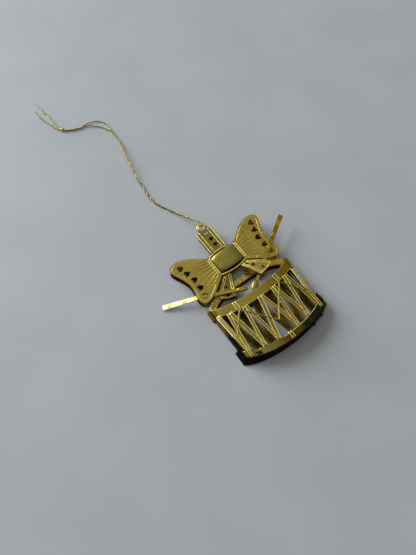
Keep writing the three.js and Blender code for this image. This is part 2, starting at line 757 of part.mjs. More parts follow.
// The opening of the drumhead: what lies under the rim's inner half oval and over the top hoop's upper edge.
function drumheadOpening(from, to) {
  const xs = spread(-HEAD_OPENING_HALF, HEAD_OPENING_HALF, CURVE_STEPS);
  const ends = (y) => [{ x: HEAD_OPENING_HALF, y }, { x: -HEAD_OPENING_HALF, y }];
  const arch = xs.map((x) => ({ x, y: halfOval(RIM_INNER, x) - HEAD_OPENING_INSET }));
  const edge = xs.map((x) => ({ x, y: dip(TOP_HOOP.upper, TOP_HOOP.bow, x) }));
  const below = outline([...arch, ...ends(Math.min(RIM_CENTRE_Y, TOP_HOOP.upper) - THROUGH)]);
  const above = outline([...edge, ...ends(RIM_CENTRE_Y + RIM_INNER.b + THROUGH)]);
  return prism(below, from, to).intersect(prism(above, from, to));
}

// Everything of the back layer in one sheet.
function backPlate() {
  const tails = [flatTail(LEFT_TAIL), flatTail(RIGHT_TAIL)];
  const stripBack = prism(
    stripShape(STRIP_HALF_WIDTH - STRIP_BACK_INSET, 0, STRIP_TOP - STRIP_BACK_INSET, false), 0, SHEET,
  ).subtract(joined(stripHearts(-THROUGH, SHEET + THROUGH)));
  const rim = prism(rimShape(-RIM_OUTER.a, RIM_OUTER.a), 0, SHEET);
  const drum = cutBy(
    prism(drumBackShape(), 0, SHEET).add(rim),
    [backOpenings(-THROUGH, SHEET + THROUGH), drumheadOpening(-THROUGH, SHEET + THROUGH)],
  );
  return joined([frame(0, SHEET), wing(1, 0, SHEET), wing(-1, 0, SHEET), stripBack, ...tails, drum]);
}

// A wall whose foot follows one line on the back plate and whose top follows another under the front.
// Each point gives x, y at the foot, x, y and height at the top, and the direction that faces out.
function leaningWall(stations) {
  const ring = (s) => [
    [s.foot.x, s.foot.y, SHEET],
    [s.foot.x - s.out.x * SHEET, s.foot.y - s.out.y * SHEET, SHEET],
    [s.top.x - s.out.x * SHEET, s.top.y - s.out.y * SHEET, s.top.z],
    [s.top.x, s.top.y, s.top.z],
  ];
  const positions = stations.flatMap(ring).flat();
  const index = [];
  const quad = (a, b, c, d) => index.push(a, b, c, a, c, d);
  stations.slice(1).forEach((_, i) => {
    const a = 4 * i;
    const b = a + 4;
    [0, 1, 2, 3].forEach((k) => {
      const next = (k + 1) % 4;
      quad(a + k, a + next, b + next, b + k);
    });
  });
  const end = 4 * (stations.length - 1);
  quad(3, 2, 1, 0);
  quad(end, end + 1, end + 2, end + 3);
  const geometry = new THREE.BufferGeometry();
  geometry.setAttribute('position', new THREE.Float32BufferAttribute(positions, 3));
  geometry.setIndex(index);
  const solid = toSolid(geometry);
  if (solid.volume() > 0) {
    return solid;
  }
  geometry.setIndex(index.reverse());
  return toSolid(geometry);
}

function drumSide(side) {
  return leaningWall(sideLine(side).map((foot) => ({
    foot,
    top: { x: foot.x - side * WALL_LEAN, y: foot.y, z: WALL_TOP },
    out: { x: side, y: 0 },
  })));
}

// A tab's end, folded out of the lower hoop's wall at its foot.
function wallTab(x) {
  const foot = backFoot(x);
  const beside = (distance) => ({ x: foot.x + foot.out.x * distance, y: foot.y + foot.out.y * distance });
  const plan = strip(beside(-SHEET / 2), beside(WALL_TABS.reach), WALL_TABS.width);
  return prism(plan, SHEET, SHEET + WALL_TABS.height);
}

// The lower hoop's wall: down the left side, round the bottom curve and up the right side.
function lowerHoopWall() {
  const count = CURVE_STEPS;
  const topHalf = DRUM_HALF_WIDTH;
  const bottom = backBottom(count).map((foot, i) => {
    const x = DRUM_CENTRE + topHalf * ((2 * i) / count - 1);
    return {
      foot,
      top: {
        x,
        y: dip(LOWER_HOOP.lower, LOWER_HOOP.bow, x) + SHEET / 2,
        z: frontUnderside(x) - CLEARANCE,
      },
      out: foot.out,
    };
  });
  const shoulder = (side) => {
    const foot = shoulderPoint(side);
    return {
      foot: { x: foot.x, y: foot.y + CLEARANCE / 2 },
      top: { x: DRUM_CENTRE + side * topHalf, y: foot.y, z: WALL_TOP },
      out: { x: side, y: 0 },
    };
  };
  const corner = (side, end) => ({ ...end, out: { x: side, y: -0.6 } });
  const wall = leaningWall([
    shoulder(-1),
    corner(-1, bottom[0]),
    ...bottom.slice(1, -1),
    corner(1, bottom[count]),
    shoulder(1),
  ]);
  return joined([wall, ...WALL_TABS.xs.map(wallTab)]);
}

// Thread: a tube of the given thickness through hand-placed points.
function tube(points, thickness, steps) {
  const curve = new THREE.CatmullRomCurve3(points.map((p) => new THREE.Vector3(...p)), false, 'centripetal');
  const section = new THREE.Shape().absarc(0, 0, thickness / 2, 0, 2 * Math.PI, false);
  return toSolid(new THREE.ExtrudeGeometry(section, {
    steps,
    extrudePath: curve,
    bevelEnabled: false,
    curveSegments: 4,
  }));
}

const ornament = new THREE.Group();

function place(name, solid, finish = GOLD) {
  const mesh = new THREE.Mesh(toGeometry(solid), new THREE.MeshStandardMaterial(finish));
  mesh.name = name;
  ornament.add(mesh);
}

place('back_plate', backPlate());
place('bow_front', bowFront());
place('bow_knot', bowKnot());
place('hanging_strip', hangingStrip());
place('ribbon_tail_left', ribbonTail(LEFT_TAIL));
place('ribbon_tail_right', ribbonTail(RIGHT_TAIL));
place('drumstick_left', drumstick(LEFT_STICK));
place('drumstick_right', drumstick(RIGHT_STICK));
place('drumhead_rim', drumheadRim());
place('drum_front_panel', drumFrontPanel());
place('drum_side_left', drumSide(-1));
place('drum_side_right', drumSide(1));
place('lower_hoop_wall', lowerHoopWall(), DARK);

// The origin goes below the middle of the rigid pieces.
const body = new THREE.Box3().setFromObject(ornament);
const middle = body.getCenter(new THREE.Vector3());
ornament.position.set(-middle.x, -middle.y, -body.min.z);

place('thread_eye_loop', tube(EYE_LOOP, STRAND, 10), THREAD);
place('thread_doubled', tube(DOUBLED, PAIR, 28), THREAD);
place('thread_strand_upper', tube(UPPER_STRAND, STRAND, 9), THREAD);
place('thread_strand_lower', tube(LOWER_STRAND, STRAND, 9), THREAD);
place('thread_rejoined', tube(REJOINED, PAIR, 4), THREAD);
place('thread_end_upper', tube(UPPER_END, STRAND, 11), THREAD);
place('thread_end_lower', tube(LOWER_END, STRAND, 9), THREAD);
place('thread_knot', toSolid(
  new THREE.SphereGeometry(THREAD_KNOT_RADIUS, 12, 8).translate(...THREAD_KNOT),
), THREAD);

export default ornament;
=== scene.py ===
"""A drum ornament of etched, gold-plated sheet brass with a bow, lying on a pale table with its hanging thread.

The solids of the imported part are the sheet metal. This script gives them their finishes, lays the raised
lines of the etching on them, makes the knot's dome, the smooth skins of the drum front and the twisted
thread, and sets the table, the lights and the camera. Plan sizes are in millimetres from the bow's knot,
and every mesh is put into metres in the part's own frame.
"""

import bmesh
import bpy
import numpy as np
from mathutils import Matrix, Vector


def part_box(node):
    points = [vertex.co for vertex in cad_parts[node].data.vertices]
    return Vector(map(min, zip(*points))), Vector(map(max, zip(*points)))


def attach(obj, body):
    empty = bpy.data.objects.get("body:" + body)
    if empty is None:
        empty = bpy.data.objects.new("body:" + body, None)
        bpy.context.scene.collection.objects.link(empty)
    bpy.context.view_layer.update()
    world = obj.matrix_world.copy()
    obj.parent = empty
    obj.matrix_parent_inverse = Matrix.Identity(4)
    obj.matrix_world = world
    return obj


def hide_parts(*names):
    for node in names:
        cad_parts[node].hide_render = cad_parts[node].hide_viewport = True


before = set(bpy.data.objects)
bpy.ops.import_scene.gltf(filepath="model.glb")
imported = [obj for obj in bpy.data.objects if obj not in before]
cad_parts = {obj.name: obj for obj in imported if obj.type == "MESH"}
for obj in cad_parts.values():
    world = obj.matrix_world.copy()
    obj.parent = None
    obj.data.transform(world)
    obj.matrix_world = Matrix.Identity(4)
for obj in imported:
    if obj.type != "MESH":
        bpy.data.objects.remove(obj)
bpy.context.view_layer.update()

bl_info = {
    "name": "Drum Ornament",
    "version": (1, 0, 0),
    "blender": (4, 5, 0),
    "location": "View3D > Sidebar > Ornament",
    "description": "Dresses a sheet-brass drum ornament: etched lines, domed knot, twisted thread and stage",
    "category": "Object",
}

MM = 0.001
KNOT_LOW, KNOT_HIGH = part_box("bow_knot")
KNOT_PLACE = np.array([(KNOT_LOW.x + KNOT_HIGH.x) / 2, (KNOT_LOW.y + KNOT_HIGH.y) / 2, 0.0])

# The sheet's thickness, how far a skin's edge stands above it, and how deep the undersides of skins and lines lie
# in it. A line's underside has three points, at these shares of its half width.
SHEET = 0.45
SKIN = 0.03
SINK = 0.06
UNDERSIDE = np.array([0.98, 0.0, -0.98])

# The level pieces' tops
BOW_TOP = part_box("bow_front")[1].z / MM
STRIP_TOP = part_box("hanging_strip")[1].z / MM

# The drum front: its middle, its ends, how far out the fold is where its bow ends, its height, its bow and the
# slope of its sides
DRUM_MIDDLE = 0.5
DRUM_ENDS = (-21.65, 22.65)
DRUM_FOLD = 20.2
DRUM_HEIGHT = 6.8
DRUM_BOW = 1.9
DRUM_SLOPE = 0.4

# The hoops in plan: the lowest place of each one's lower edge, its bow and its width, and half of their ellipse
BAND = (-24.6, 7.4, 4.3)
HOOP = (-48.0, 9.6, 3.1)
ELLIPSE_HALF = 24.0

# The drumhead's rim: how square its curve is in plan, its middle and its reach to either side
RIM_FULLNESS = 2.4
RIM_MIDDLE = -0.1
RIM_REACH = 21.14


# ---- heights of the sheet metal


def flat(height):
    """A level surface: the same height everywhere."""
    return lambda x, y: np.full(np.shape(x), float(height))


def front_top(x, y):
    """Top of the drum front: its height less its bow times the square of the share of the way to the fold, then
    an even slope from the fold to the edge."""
    across = np.abs(x - DRUM_MIDDLE)
    bowed = DRUM_HEIGHT - DRUM_BOW * (across / DRUM_FOLD) ** 2
    sloped = DRUM_HEIGHT - DRUM_BOW - DRUM_SLOPE * (across - DRUM_FOLD)
    return np.where(across <= DRUM_FOLD, bowed, sloped)


def rim_top(x, y):
    """Top of the drumhead rim: 1.45 plus 2 times the square of the share of the way to its end."""
    return 1.45 + 2.0 * ((x - RIM_MIDDLE) / RIM_REACH) ** 2


def bent_top(axis, places, heights):
    """Top of a bent sheet: straight between the given places along one axis, a sheet thicker than its underside."""
    def surface(x, y):
        along = -y if axis == "y" else x
        return np.interp(along, places, heights) + SHEET
    return surface


left_tail_top = bent_top("y", [5, 9.8, 18], [4.5, 2.95, 2.75])
right_tail_top = bent_top("y", [5, 9.6, 18], [4.4, 5.98, 6.4])
left_stick_top = bent_top("x", [-37.7, -22.6, -1.5], [0.4, 3.3, 4.7])
right_stick_top = bent_top("x", [-0.3, 14.2, 34.3], [5.0, 5.26, 6.4])


def hoop_line(hoop, x, share=0.0, up=0.0):
    """A line along a hoop in plan: its lowest place, plus its bow times one less the root of one less the square
    of the share of the ellipse's half, plus a share of its width, plus so far up."""
    lowest, bow, width = hoop
    arc = 1 - np.sqrt(1 - ((x - DRUM_MIDDLE) / ELLIPSE_HALF) ** 2)
    return lowest + bow * arc + width * share + up


def hoop_place(hoop):
    """Places on a hoop in plan: u across the drum, and a share v of the hoop's width above its lower edge."""
    return lambda u, v: np.stack([u, hoop_line(hoop, u, v)], -1)


# ---- lines in plan


def distances(path):
    """The length of the path from its start to each of its points."""
    return np.concatenate([[0], np.cumsum(np.linalg.norm(np.diff(path, axis=0), axis=1))])


def stations(path, at):
    """The places on the path at the given lengths from its start."""
    along = distances(path)
    return np.stack([np.interp(at, along, path[:, k]) for k in range(path.shape[1])], 1)


def line(*points, step=0.5):
    """Straight lines through the points, with a station about every step."""
    points = np.array(points, float)
    along = distances(points)
    even = np.linspace(0, along[-1], max(2, int(along[-1] / step) + 1))
    return stations(points, np.unique(np.concatenate([along, even])))


def through(points, each=12):
    """A smooth curve through the points, each stretch a cubic whose end slopes are half the chord between its
    neighbours."""
    p = np.array(points, float)
    p = np.concatenate([[2 * p[0] - p[1]], p, [2 * p[-1] - p[-2]]])
    t = np.linspace(0, 1, each, endpoint=False)[None, :, None]
    a, b, c, d = (p[i:len(p) - 3 + i][:, None, :] for i in range(4))
    cubic = 0.5 * (2 * b + (c - a) * t + (2 * a - 5 * b + 4 * c - d) * t ** 2 + (3 * b - a - 3 * c + d) * t ** 3)
    return np.concatenate([cubic.reshape(-1, p.shape[1]), p[-2:-1]])


def evenly(path, count):
    """The path with its points spread evenly over its length."""
    return stations(path, np.linspace(0, distances(path)[-1], count))


def curve(points, count):
    """The smooth curve through the points, spread evenly."""
    return evenly(through(points), count)


def bezier(a, b, c, d):
    """A cubic curve with its two handles: the sum of its four points weighted by the cubic terms of t."""
    t = np.linspace(0, 1, 14)[:, None]
    a, b, c, d = (np.array(p, float) for p in (a, b, c, d))
    return a * (1 - t) ** 3 + 3 * b * t * (1 - t) ** 2 + 3 * c * t ** 2 * (1 - t) + d * t ** 3


def unit(vectors):
    """The vectors at length one."""
    return vectors / np.maximum(np.linalg.norm(vectors, axis=-1, keepdims=True), 1e-9)


def plan_normal(path):
    """The unit direction across a path in plan: its slope turned a quarter to the left."""
    slope = unit(np.gradient(path[:, :2], axis=0))
    return np.stack([-slope[:, 1], slope[:, 0]], 1)


def beside(path, offset):
    """The path shifted sideways by the offset."""
    return path[:, :2] + plan_normal(path) * offset


def wing_edge(side):
    """The wing's outline: six cubic stretches from the upper root round the tip and the foot to the lower root."""
    p = [
        (7, 5), (11.5, 7.4), (15.8, 12.4), (21.2, 12.4), (24, 12.4), (26.2, 10.9), (25.3, 8.4), (24.5, 6.1),
        (21.9, 2.0), (21.9, -1.6), (21.9, -4.6), (23.1, -6.7), (22.9, -9.3), (22.8, -11.3), (21.5, -12.4),
        (19.8, -12.4), (16.2, -12.4), (11.6, -8.2), (7, -5.4),
    ]
    edge = np.concatenate([bezier(*p[k:k + 4])[:-1] for k in range(0, len(p) - 1, 3)] + [p[-1:]])
    return edge * np.array([side, 1.0])


# ---- profiles across a line


def bead_profile(width, height):
    """Half an oval: the height times the root of one less the square of the share across."""
    share = np.linspace(-1, 1, 9)
    return share * width / 2, height * np.sqrt(np.maximum(0, 1 - share ** 2))


def flat_profile(width, height):
    """A flat rail with rounded shoulders: the height times one less the fourth power of the share across."""
    share = np.linspace(-1, 1, 9)
    return share * width / 2, height * (1 - share ** 4)


# ---- surfaces


def grid_faces(rings, sides, path_closed=False):
    """Quads between neighbouring rings of a grid of points, as an array of corner numbers."""
    ring = np.arange(rings if path_closed else rings - 1)[:, None]
    side = np.arange(sides)[None, :]
    here, after, beyond = ring * sides, (ring + 1) % rings * sides, (side + 1) % sides
    corners = np.broadcast_arrays(here + side, here + beyond, after + beyond, after + side)
    return np.stack(corners, -1).reshape(-1, 4)


def closed(rings, lay=None):
    """A closed body from rings of points: quads between the rings and a flat cap on each end. Its map gives the
    length along and the share of the way round at each point, where a finish needs them."""
    count, sides = rings.shape[:2]
    cap = np.arange(sides)[None, :]
    if lay is None:
        lay = np.ones((count, sides, 2))
    return rings.reshape(-1, 3), [grid_faces(count, sides), cap, cap + (count - 1) * sides], lay.reshape(-1, 2)


def raised(plan, height):
    """Points in space from points in plan and their heights."""
    return np.concatenate([plan, height[..., None]], -1)


def between(upper, lower):
    """A closed body between two surfaces on one grid: each ring goes over the one and back under the other."""
    return closed(np.concatenate([upper, lower[:, ::-1]], 1))


def laid(path, profile, surface, scale=1.0, lift=0.0, deep=SINK):
    """A profile carried along a line and laid on a surface. In plan each point is the line's point plus the
    profile's offset across it, and its height is the surface there plus the profile's height. The underside
    lies so deep below the sheet's top, so the ridge is a closed body."""
    offset, height = profile
    scale = np.broadcast_to(scale, (len(path),))[:, None]
    offset = np.concatenate([offset, offset[-1] * UNDERSIDE]) * scale
    plan = path[:, None, :2] + plan_normal(path)[:, None, :] * offset[..., None]
    level = np.concatenate([height * scale + lift, np.full((len(path), len(UNDERSIDE)), -deep)], 1)
    top = surface(plan[..., 0], plan[..., 1]) + level
    return closed(raised(plan, top))


def plate(u, v, place, surface, crown):
    """A thin skin over a bowed sheet. Its plan is a function of u along and v across, its top is the surface plus
    the skin and a low crown times one less the sixth power of the share across."""
    uu, vv = np.meshgrid(u, v, indexing="ij")
    plan = place(uu, vv)
    share = 2 * (vv - v[0]) / (v[-1] - v[0]) - 1
    sheet = surface(plan[..., 0], plan[..., 1])
    return between(raised(plan, sheet + SKIN + crown * (1 - share ** 6)), raised(plan, sheet - SINK))


TUBE_SIDES = 10


def tube(path, radius):
    """A round tube along a path in space: circles of the given radius square to the path. The side direction is
    square to a reference that turns from X near the path's steep stretch to Z elsewhere."""
    slope = unit(np.gradient(path, axis=0))
    steep = np.clip((np.abs(slope[:, 2]) - 0.3) / 0.4, 0, 1)
    near = np.clip(np.convolve(steep, np.ones(41) / 41, "same")[:, None] * 4, 0, 1)
    reference = near * np.array([1.0, 0, 0]) + (1 - near) * np.array([0, 0, 1.0])
    side = unit(np.cross(reference, slope))
    up = np.cross(slope, side)
    turn = np.linspace(0, 2 * np.pi, TUBE_SIDES, endpoint=False)
    ring = np.cos(turn)[None, :, None] * side[:, None] + np.sin(turn)[None, :, None] * up[:, None]
    along, around = np.broadcast_arrays(distances(path)[:, None], turn[None, :] / (2 * np.pi))
    return closed(path[:, None] + ring * radius, np.stack([along, around], -1))


# ---- objects


def finish(name):
    """A finish by its name."""
    found = bpy.data.materials.get(name)
    if found is None:
        raise RuntimeError(f"make the finishes first: there is no {name}")
    return found


def placed(name, data):
    """A new object in the scene."""
    made = bpy.data.objects.new(name, data)
    bpy.context.scene.collection.objects.link(made)
    return made


def aimed(made, place, aim):
    """Put a camera or a lamp at a place, turned towards the aim."""
    made.location = place
    made.rotation_mode = "QUATERNION"
    made.rotation_quaternion = (aim - place).to_track_quat("-Z", "Y")


def piece(name, bodies, finish_name):
    """One named object from closed bodies in millimetres from the knot: it is put in place in metres, its faces
    are turned outwards, and it rides on the part."""
    points, faces, lays, first = [], [], [], 0
    for body_points, face_groups, body_lay in bodies:
        for group in face_groups:
            faces.extend((group + first).tolist())
        points.append(body_points)
        lays.append(body_lay)
        first += len(body_points)
    mesh = bpy.data.meshes.new(name)
    mesh.from_pydata((np.concatenate(points) * MM + KNOT_PLACE).tolist(), [], faces)
    corners = np.zeros(len(mesh.loops), np.int32)
    mesh.loops.foreach_get("vertex_index", corners)
    uv = mesh.uv_layers.new(name="lay")
    uv.data.foreach_set("uv", np.concatenate(lays)[corners].astype(np.float32).ravel())
    shell = bmesh.new()
    shell.from_mesh(mesh)
    bmesh.ops.recalc_face_normals(shell, faces=shell.faces)
    shell.to_mesh(mesh)
    shell.free()
    mesh.polygons.foreach_set("use_smooth", np.ones(len(mesh.polygons), bool))
    mesh.materials.append(finish(finish_name))
    made = placed(name, mesh)
    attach(made, "root")
    return made


# ---- finishes


def new_finish(name):
    """A new material's tree of nodes and its shader."""
    material = bpy.data.materials.new(name)
    material.use_nodes = True
    return material.node_tree, material.node_tree.nodes["Principled BSDF"]


def feed(tree, made, inputs):
    """Set a node's inputs to values, or join them to other nodes' outputs."""
    for key, value in inputs.items():
        if isinstance(value, bpy.types.NodeSocket):
            tree.links.new(value, made.inputs[key])
        else:
            made.inputs[key].default_value = value


def add_node(tree, kind, inputs=None, **settings):
    """A shader node with its inputs and settings."""
    made = tree.nodes.new(kind)
    for key, value in settings.items():
        setattr(made, key, value)
    feed(tree, made, inputs or {})
    return made


def coordinates(tree, kind="Object"):
    """The place on the object, or the direction for the room."""
    return add_node(tree, "ShaderNodeTexCoord").outputs[kind]


def part_of(tree, vector, axis):
    """One axis of a vector."""
    return add_node(tree, "ShaderNodeSeparateXYZ", {0: vector}).outputs[axis]


def reckon(tree, operation, first, second=0.0):
    """One step of arithmetic on one or two values."""
    return add_node(tree, "ShaderNodeMath", {0: first, 1: second}, operation=operation).outputs[0]


def noise(tree, place, size, detail=3.0, stretch=None):
    """Noise whose features are about the given size in millimetres, drawn out along an axis by stretch."""
    if stretch:
        place = add_node(tree, "ShaderNodeMapping", {"Vector": place, "Scale": stretch}).outputs["Vector"]
    inputs = {"Vector": place, "Scale": 1 / (size * MM), "Detail": detail}
    return add_node(tree, "ShaderNodeTexNoise", inputs).outputs["Fac"]


def ramp(tree, factor, low, high, to_low=0.0, to_high=1.0):
    """The factor between low and high, drawn smoothly out to a new range."""
    inputs = {"Value": factor, "From Min": low, "From Max": high, "To Min": to_low, "To Max": to_high}
    return add_node(tree, "ShaderNodeMapRange", inputs, interpolation_type="SMOOTHSTEP").outputs["Result"]


def mix(tree, factor, first, second):
    """Two colours mixed by a factor."""
    sides = [value if isinstance(value, bpy.types.NodeSocket) else (*value, 1) for value in (first, second)]
    return add_node(tree, "ShaderNodeMix", {0: factor, 6: sides[0], 7: sides[1]}, data_type="RGBA").outputs[2]


def bump(tree, height, distance, strength=0.3, under=None):
    """A bump of the given depth in millimetres, over another bump where there is one."""
    inputs = {"Height": height, "Strength": strength, "Distance": distance * MM}
    if under is not None:
        inputs["Normal"] = under
    return add_node(tree, "ShaderNodeBump", inputs).outputs[0]


def shaded(colour, share):
    """A colour times a share."""
    return tuple(share * c for c in colour)


def plated(
    name, bright, roughness, deep=None, edge=None, tints=(), dents=1.0, grain=1.0, lacquer=0.0, under=None
):
    """Gold plate over etched brass: two drifting golds with pinpoint speckles, tints, mostly painted reflection,
    highlight and shade, that come in along an axis between two places, browner cut edges and, if given, an
    underside of its own colour, which on the drum front is painted shade. The roughness is uneven, and the
    bump has slow dents, rolling lines and fine grain. Lacquer is the share that is paint, not metal."""
    tree, shader = new_finish(name)
    place = coordinates(tree)
    deep = deep or bright
    colour = mix(tree, ramp(tree, noise(tree, place, 6.0), 0.3, 0.75), bright, deep)
    for tone, axis, start, end in tints:
        share = ramp(tree, part_of(tree, place, axis), start * MM, end * MM)
        uneven = ramp(tree, noise(tree, place, 2.5), 0.3, 0.6, 0.75, 1.0)
        colour = mix(tree, reckon(tree, "MULTIPLY", share, uneven), colour, tone)
    specks = ramp(tree, noise(tree, place, 0.3, 2.0), 0.68, 0.76, 0.0, 0.25)
    colour = mix(tree, specks, colour, shaded(deep, 0.4))
    facing = part_of(tree, add_node(tree, "ShaderNodeNewGeometry").outputs["True Normal"], "Z")
    if edge is not None:
        upright = ramp(tree, reckon(tree, "ABSOLUTE", facing), 0.25, 0.7, 1.0, 0.0)
        colour = mix(tree, upright, colour, edge)
    if under is not None:
        colour = mix(tree, ramp(tree, facing, -0.7, -0.3, 1.0, 0.0), colour, under)
    rough = ramp(tree, noise(tree, place, 1.2), 0.3, 0.7, roughness * 0.85, roughness * 1.2)
    slow = bump(tree, noise(tree, place, 9.0, 1.0), 0.22 * dents, strength=0.5)
    lines = bump(tree, noise(tree, place, 0.5, 2.0, stretch=(1, 0.08, 1)), 0.006 * grain, under=slow)
    fine = bump(tree, noise(tree, place, 0.12, 2.0), 0.004 * grain, under=lines)
    feed(tree, shader, {
        "Base Color": colour, "Roughness": rough, "Metallic": 1.0 - lacquer,
        "Specular IOR Level": 0.5 - 0.47 * lacquer, "Normal": fine,
    })


def yarn(name, bright, dark, turns):
    """Metallic yarn: a bright foil strip wound round a dark core. Along the strand, bright and dark follow the
    sine of the turns along plus the share round, standing both for the foil and core and for painted highlight
    and shade of the twist, with broken painted glints."""
    tree, shader = new_finish(name)
    lay = add_node(tree, "ShaderNodeUVMap", uv_map="lay").outputs["UV"]
    wound = reckon(tree, "MULTIPLY", part_of(tree, lay, "X"), turns)
    slant = reckon(tree, "ADD", wound, part_of(tree, lay, "Y"))
    wave = reckon(tree, "SINE", reckon(tree, "MULTIPLY", slant, 2 * np.pi))
    painted_glints = ramp(tree, noise(tree, coordinates(tree), 0.5, 2.0), 0.35, 0.65)
    foil = reckon(tree, "MULTIPLY", ramp(tree, wave, -0.5, 0.6), painted_glints)
    feed(tree, shader, {
        "Base Color": mix(tree, foil, dark, bright), "Metallic": 0.85,
        "Roughness": ramp(tree, wave, -1, 1, 0.55, 0.25), "Normal": bump(tree, wave, 0.04, strength=0.5),
    })


def table_top(name, colour):
    """The plain table: a colour that clouds by three hundredths either way, and a fine bump."""
    tree, shader = new_finish(name)
    place = coordinates(tree)
    clouds = ramp(tree, noise(tree, place, 40.0, 2.0), 0.3, 0.7)
    feed(tree, shader, {
        "Base Color": mix(tree, clouds, shaded(colour, 0.97), shaded(colour, 1.03)),
        "Roughness": 0.55, "Specular IOR Level": 0.3,
        "Normal": bump(tree, noise(tree, place, 0.8, 3.0), 0.1, strength=0.2),
    })


# ---- sizes and colours to set


def hue(name, description, default):
    """A colour to set."""
    return bpy.props.FloatVectorProperty(
        name=name, description=description, default=default, subtype="COLOR", size=3, min=0, max=1
    )


def number(name, description, default, low, high, **kind):
    """A number to set, with its unit or kind."""
    return bpy.props.FloatProperty(name=name, description=description, default=default, min=low, max=high, **kind)


class OrnamentFinishes(bpy.types.PropertyGroup):
    """Colours and surface of the metal and the thread."""

    gold: hue("Gold", "Bright gold plate", (0.60, 0.45, 0.095))
    deep_gold: hue("Deep gold", "Where the plate is thinner", (0.48, 0.345, 0.06))
    # Painted reflection on the drum front's bowed right side, and on the right handle
    warm_gold: hue("Warm gold", "The drum's right side", (0.32, 0.20, 0.012))
    line_highlight_gold: hue("Line gold", "Raised lines, which catch the light all along", (0.86, 0.75, 0.26))
    # Painted highlight of the raised lines
    soft_line: hue("Soft line", "Low lines of the wings and hoops", (0.60, 0.47, 0.12))
    # Painted reflection: the olive of the knot, the lower hoop and the drum front's left side
    olive_reflection: hue("Olive", "The knot and the drum's left side", (0.33, 0.27, 0.060))
    strip_gold: hue("Strip gold", "The hanging strip", (0.36, 0.28, 0.062))
    tail_gold: hue("Tail gold", "The left ribbon tail", (0.33, 0.235, 0.045))
    rope_gold: hue("Rope gold", "Ropes and rods between their rails", (0.36, 0.27, 0.055))
    swag_gold: hue("Swag gold", "The looping cord", (0.21, 0.16, 0.034))
    # Painted reflection at the top of the side walls
    wall_top_reflection: hue("Wall brown", "The drum's side walls", (0.145, 0.072, 0.005))
    # Painted highlight on the left handle
    handle_highlight_gold: hue("Pale gold", "The left handle", (0.74, 0.65, 0.36))
    # Painted reflection near the right handle's end
    orange: hue("Orange", "Tint near the right handle's end", (0.70, 0.36, 0.01))
    # Painted highlight on the rods' rails
    cream_highlight: hue("Cream", "The brightest rails, on the side rods", (0.95, 0.93, 0.62))
    # Painted shade on the rim's inner wall and on the back behind the bow
    maroon_shade: hue("Maroon", "The rim's inner wall and the back behind the bow", (0.11, 0.024, 0.008))
    ground: hue("Ground", "Sides of the ropes and rods", (0.22, 0.145, 0.03))
    cut_edge: hue("Cut edge", "Etched edges of the sheet", (0.13, 0.05, 0.012))
    # Painted reflection on the lower hoop's middle, also the brown at the rim wall's right end
    brown_gold: hue("Brown gold", "The lower hoop's middle", (0.14, 0.075, 0.012))
    shade: hue("Shade", "The drum front's underside", (0.055, 0.035, 0.010))
    back_gold: hue("Back gold", "The polished back layer", (0.42, 0.30, 0.055))
    dark: hue("Dark", "Darkened walls", (0.004, 0.004, 0.003))
    # Painted reflection at the drum's lower right
    green_reflection: hue("Green tint", "Tint at the drum's lower right", (0.026, 0.032, 0.015))
    roughness: number("Roughness", "How satin the plate is", 0.24, 0, 1, subtype="FACTOR")
    thread_bright: hue("Thread foil", "Bright foil of the thread", (0.84, 0.62, 0.055))
    thread_dark: hue("Thread core", "Dark side of the thread", (0.13, 0.095, 0.008))


LENGTH = {"unit": "LENGTH", "precision": 5}


class OrnamentSizes(bpy.types.PropertyGroup):
    """Sizes of the raised lines and of the thread, in metres."""

    line_width: number("Line width", "Width of a raised line", 0.00048, 0.0002, 0.001, **LENGTH)
    line_height: number("Line height", "Height of a raised line", 0.00017, 0.00005, 0.0004, **LENGTH)
    strand: number("Strand", "Thickness of one strand of the thread", 0.00045, 0.0003, 0.0008, **LENGTH)
    twist_pitch: number("Twist pitch", "Length of one turn of the twisted pair", 0.0085, 0.003, 0.02, **LENGTH)


class OrnamentStage(bpy.types.PropertyGroup):
    """Table and lights."""

    ceiling_power: number("Ceiling lamp", "Power of the small lamp above the table", 0.45, 0, 5, unit="POWER")
    table: hue("Table", "Colour of the table", (0.405, 0.427, 0.455))
    room_light: number("Room light", "Strength of the room's light where it is brightest", 0.53, 0, 2)
    window_power: number("Window", "Power of the large soft light", 114.0, 0, 200, unit="POWER")


def mm(length):
    """A length in metres as millimetres."""
    return length / MM


# ---- operators


def profiles(context, *shares):
    """Raised lines' profiles, each as shares of the line width and height that are set."""
    sizes = context.scene.ornament_sizes
    width, height = mm(sizes.line_width), mm(sizes.line_height)
    return [bead_profile(width * wide, height * high) for wide, high in shares]


class OrnamentOperator:
    """What all the operators share: each can be undone."""

    bl_options = {"REGISTER", "UNDO"}


CAMERA_LENS = 30.49
CAMERA_PLACE = (-65.2, -72.9, 201.8)
CAMERA_AIM = (-11.72, -0.78, 0)


class ORNAMENT_OT_camera(OrnamentOperator, bpy.types.Operator):
    """Put the camera above the table, where it looks down at the drum and its thread"""

    bl_idname = "ornament.camera"
    bl_label = "Camera"

    def execute(self, context):
        data = bpy.data.cameras.new("table_view")
        data.lens = CAMERA_LENS
        data.sensor_width = 36
        data.clip_start = 0.005
        data.clip_end = 20
        camera = placed("table_view", data)
        place, aim = (Vector(spot) * MM + Vector(KNOT_PLACE) for spot in (CAMERA_PLACE, CAMERA_AIM))
        aimed(camera, place, aim)
        context.scene.camera = camera
        return {"FINISHED"}


WORN = {
    "back_plate": "back_mirror", "bow_front": "gold_sheet", "bow_knot": "gold_dome",
    "hanging_strip": "gold_strip", "ribbon_tail_left": "gold_tail", "ribbon_tail_right": "gold_sheet",
    "drumstick_left": "stick_left", "drumstick_right": "stick_right", "drumhead_rim": "gold_sheet",
    "drum_front_panel": "gold_front", "drum_side_left": "brown_wall", "drum_side_right": "brown_wall",
    "lower_hoop_wall": "dark_wall",
}


